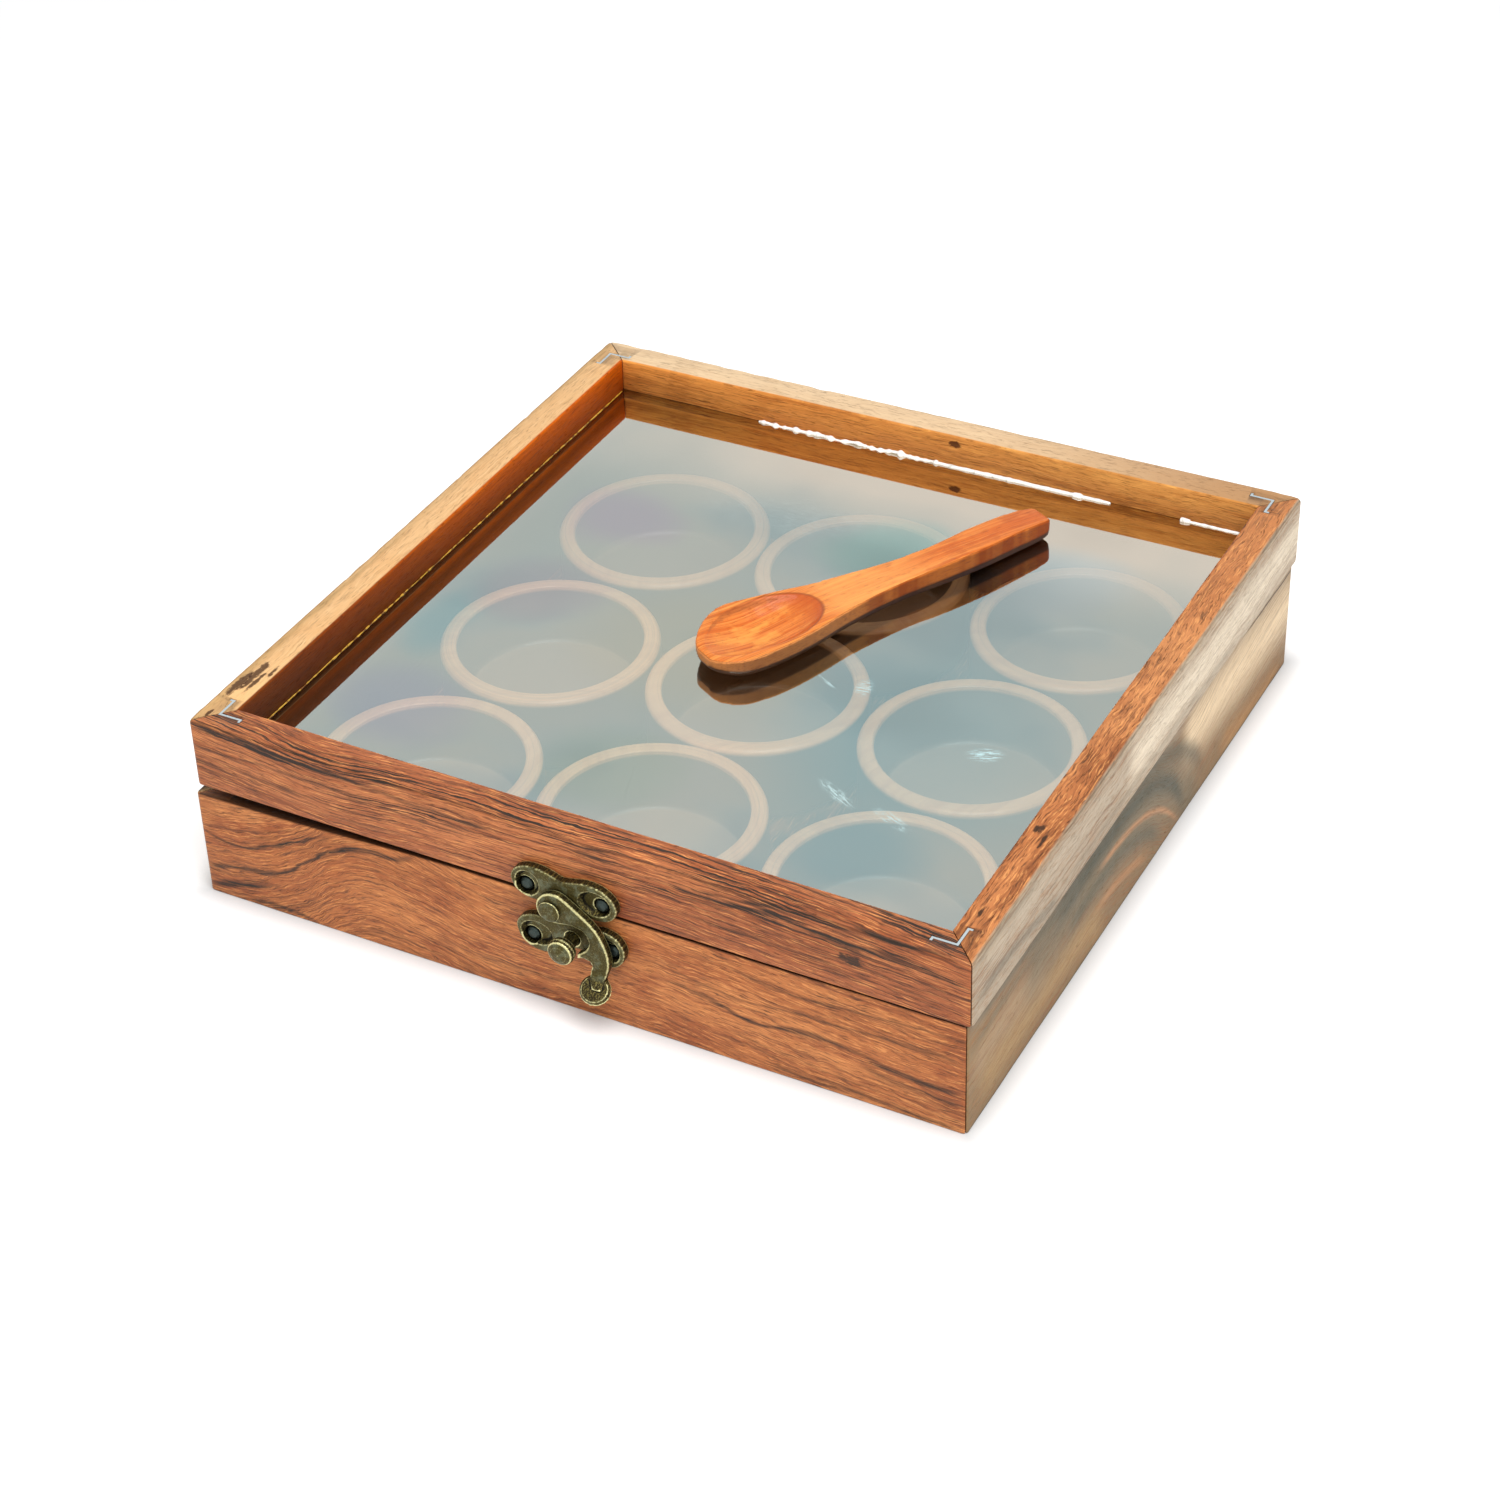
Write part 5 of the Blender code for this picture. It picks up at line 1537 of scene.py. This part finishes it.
class BOX_OT_latch(Operator):
    """Soften the castings of the latch, and store where their edges are rubbed and highlit and
    where their hollows and sides are shaded
    """

    bl_idname = "box.latch"
    bl_label = "Latch"

    def execute(self, context):
        metal = antique_brass("antique_brass", context.scene.box_finish)
        bodies = {
            "latch_upper_plate": "lid",
            "latch_lower_plate": "box",
            "latch_hook": "hook",
            "latch_rivet": "lid",
            "latch_post": "box",
        }
        for node, body in bodies.items():
            item = cad_copy(node, node.replace("latch", "cast"))
            soften(item, context.scene.box_shape.casting_voxel, 2)
            wear_attributes(item)
            # How far each point faces the front; the brass paints the other sides in shade
            facing(item, "face", (0, -1, 0), 0.6, 0.92)
            finish_piece(item, metal, body, (node,))
        return {"FINISHED"}


class BOX_OT_stage(Operator):
    """Set the floor, the light and the camera"""

    bl_idname = "box.stage"
    bl_label = "Stage"

    def execute(self, context):
        settings = context.scene.box_stage
        context.scene.view_settings.view_transform = "Standard"
        self.floor()
        self.sky(context.scene, settings.sky)
        self.lamp("key", (0.35, -0.45, 1.1), 0.8, settings.key)
        self.camera(context.scene)
        return {"FINISHED"}

    def floor(self):
        """A pale floor that the camera sees as white, but for the object's shadow and a painted
        shadow close round it.
        """
        bpy.ops.mesh.primitive_plane_add(size=6, location=(0, 0, 0))
        item = bpy.context.object
        item.name = "floor"
        t = Tree("pale_floor")
        x, y = t.place()[:2]
        matt = t.node("ShaderNodeBsdfDiffuse", {}, {0: (0.86, 0.86, 0.86, 1.0)})
        glow = t.node("ShaderNodeEmission", {}, {0: WHITE, 1: 0.3})
        pale = t.node("ShaderNodeAddShader", {}, {0: matt, 1: glow})

        # What is looked at carries a painted shadow close round the box, and is plain white far
        # from it
        shade = t.node("ShaderNodeBsdfDiffuse", {}, {0: (0.5, 0.5, 0.5, 1.0)})
        white = t.node("ShaderNodeEmission", {}, {0: WHITE, 1: 1.0})
        beyond = [x.math("MAXIMUM", abs(side) - HALF / MM, 0.0) for side in (x, y)]
        near = 1 - ((beyond[0] ** 2 + beyond[1] ** 2) ** 0.5).rising(-6.0, 12.0)
        far = ((x ** 2 + y ** 2) ** 0.5).rising(250.0, 700.0)
        looks = t.node("ShaderNodeMixShader", {}, {0: near, 1: pale, 2: shade})
        looks = t.node("ShaderNodeMixShader", {}, {0: far, 1: looks, 2: white})
        mixed = t.node("ShaderNodeMixShader", {}, {0: t.seen(), 1: matt, 2: looks})
        item.data.materials.append(t.close(mixed))

    def sky(self, scene, strength):
        """Even white light, which the camera and reflections see at full strength."""
        t = Tree("studio", "worlds")
        light = t.node("ShaderNodeBackground", {}, {"Color": WHITE, "Strength": strength})
        backdrop = t.node("ShaderNodeBackground", {}, {"Color": WHITE, "Strength": 1.0})
        mixed = t.node("ShaderNodeMixShader", {}, {0: t.seen(), 1: light, 2: backdrop})
        scene.world = t.close(mixed, "ShaderNodeOutputWorld")

    def lamp(self, name, at, size, power):
        """A large soft lamp aimed at the box."""
        light = bpy.data.lights.new(name, "AREA")
        light.size = size
        light.energy = power
        item = bpy.data.objects.new(name, light)
        bpy.context.collection.objects.link(item)
        item.location = at
        item.rotation_euler = (-Vector(at)).to_track_quat("-Z", "Y").to_euler()

    def camera(self, scene):
        """The camera where the photograph's stood."""
        azimuth, elevation, roll = CAMERA_AZIMUTH, CAMERA_ELEVATION, CAMERA_ROLL
        back = Vector((
            math.sin(azimuth) * math.cos(elevation),
            -math.cos(azimuth) * math.cos(elevation),
            math.sin(elevation),
        ))
        right = Vector((math.cos(azimuth), math.sin(azimuth), 0))
        up = back.cross(right)
        rolled_right = right * math.cos(roll) + up * math.sin(roll)
        rolled_up = up * math.cos(roll) - right * math.sin(roll)
        data = bpy.data.cameras.new("camera")
        data.lens = CAMERA_LENS
        data.sensor_width = CAMERA_SENSOR
        data.sensor_fit = "HORIZONTAL"
        item = bpy.data.objects.new("camera", data)
        bpy.context.collection.objects.link(item)
        rows = Matrix((rolled_right, rolled_up, back)).transposed().to_4x4()
        item.matrix_world = Matrix.Translation(CAMERA_AT) @ rows
        scene.camera = item


OPERATORS = (
    BOX_OT_boards,
    BOX_OT_metal,
    BOX_OT_pane,
    BOX_OT_glue,
    BOX_OT_cups,
    BOX_OT_spoon,
    BOX_OT_latch,
    BOX_OT_stage,
)


GROUPS = {
    "box_shape": BoxShapeSettings,
    "box_finish": BoxFinishSettings,
    "box_stage": BoxStageSettings,
}


class BOX_PT_panel(Panel):
    """Lists the settings, and the steps in the order in which they run"""

    bl_label = "Compartment box"
    bl_space_type = "VIEW_3D"
    bl_region_type = "UI"
    bl_category = "Box"

    def draw(self, context):
        for group in GROUPS:
            settings = getattr(context.scene, group)
            for name in settings.__annotations__:
                self.layout.prop(settings, name)
        for operator in OPERATORS:
            self.layout.operator(operator.bl_idname)


def register():
    for item in (*GROUPS.values(), *OPERATORS, BOX_PT_panel):
        bpy.utils.register_class(item)
    for name, group in GROUPS.items():
        setattr(bpy.types.Scene, name, PointerProperty(type=group))


def unregister():
    for name in GROUPS:
        delattr(bpy.types.Scene, name)
    for item in (BOX_PT_panel, *reversed(OPERATORS), *reversed(GROUPS.values())):
        bpy.utils.unregister_class(item)


def main():
    register()
    bpy.ops.box.boards()
    bpy.ops.box.metal()
    bpy.ops.box.pane()
    bpy.ops.box.glue()
    bpy.ops.box.cups()
    bpy.ops.box.spoon()
    bpy.ops.box.latch()
    bpy.ops.box.stage()


if __name__ == "__main__":
    main()
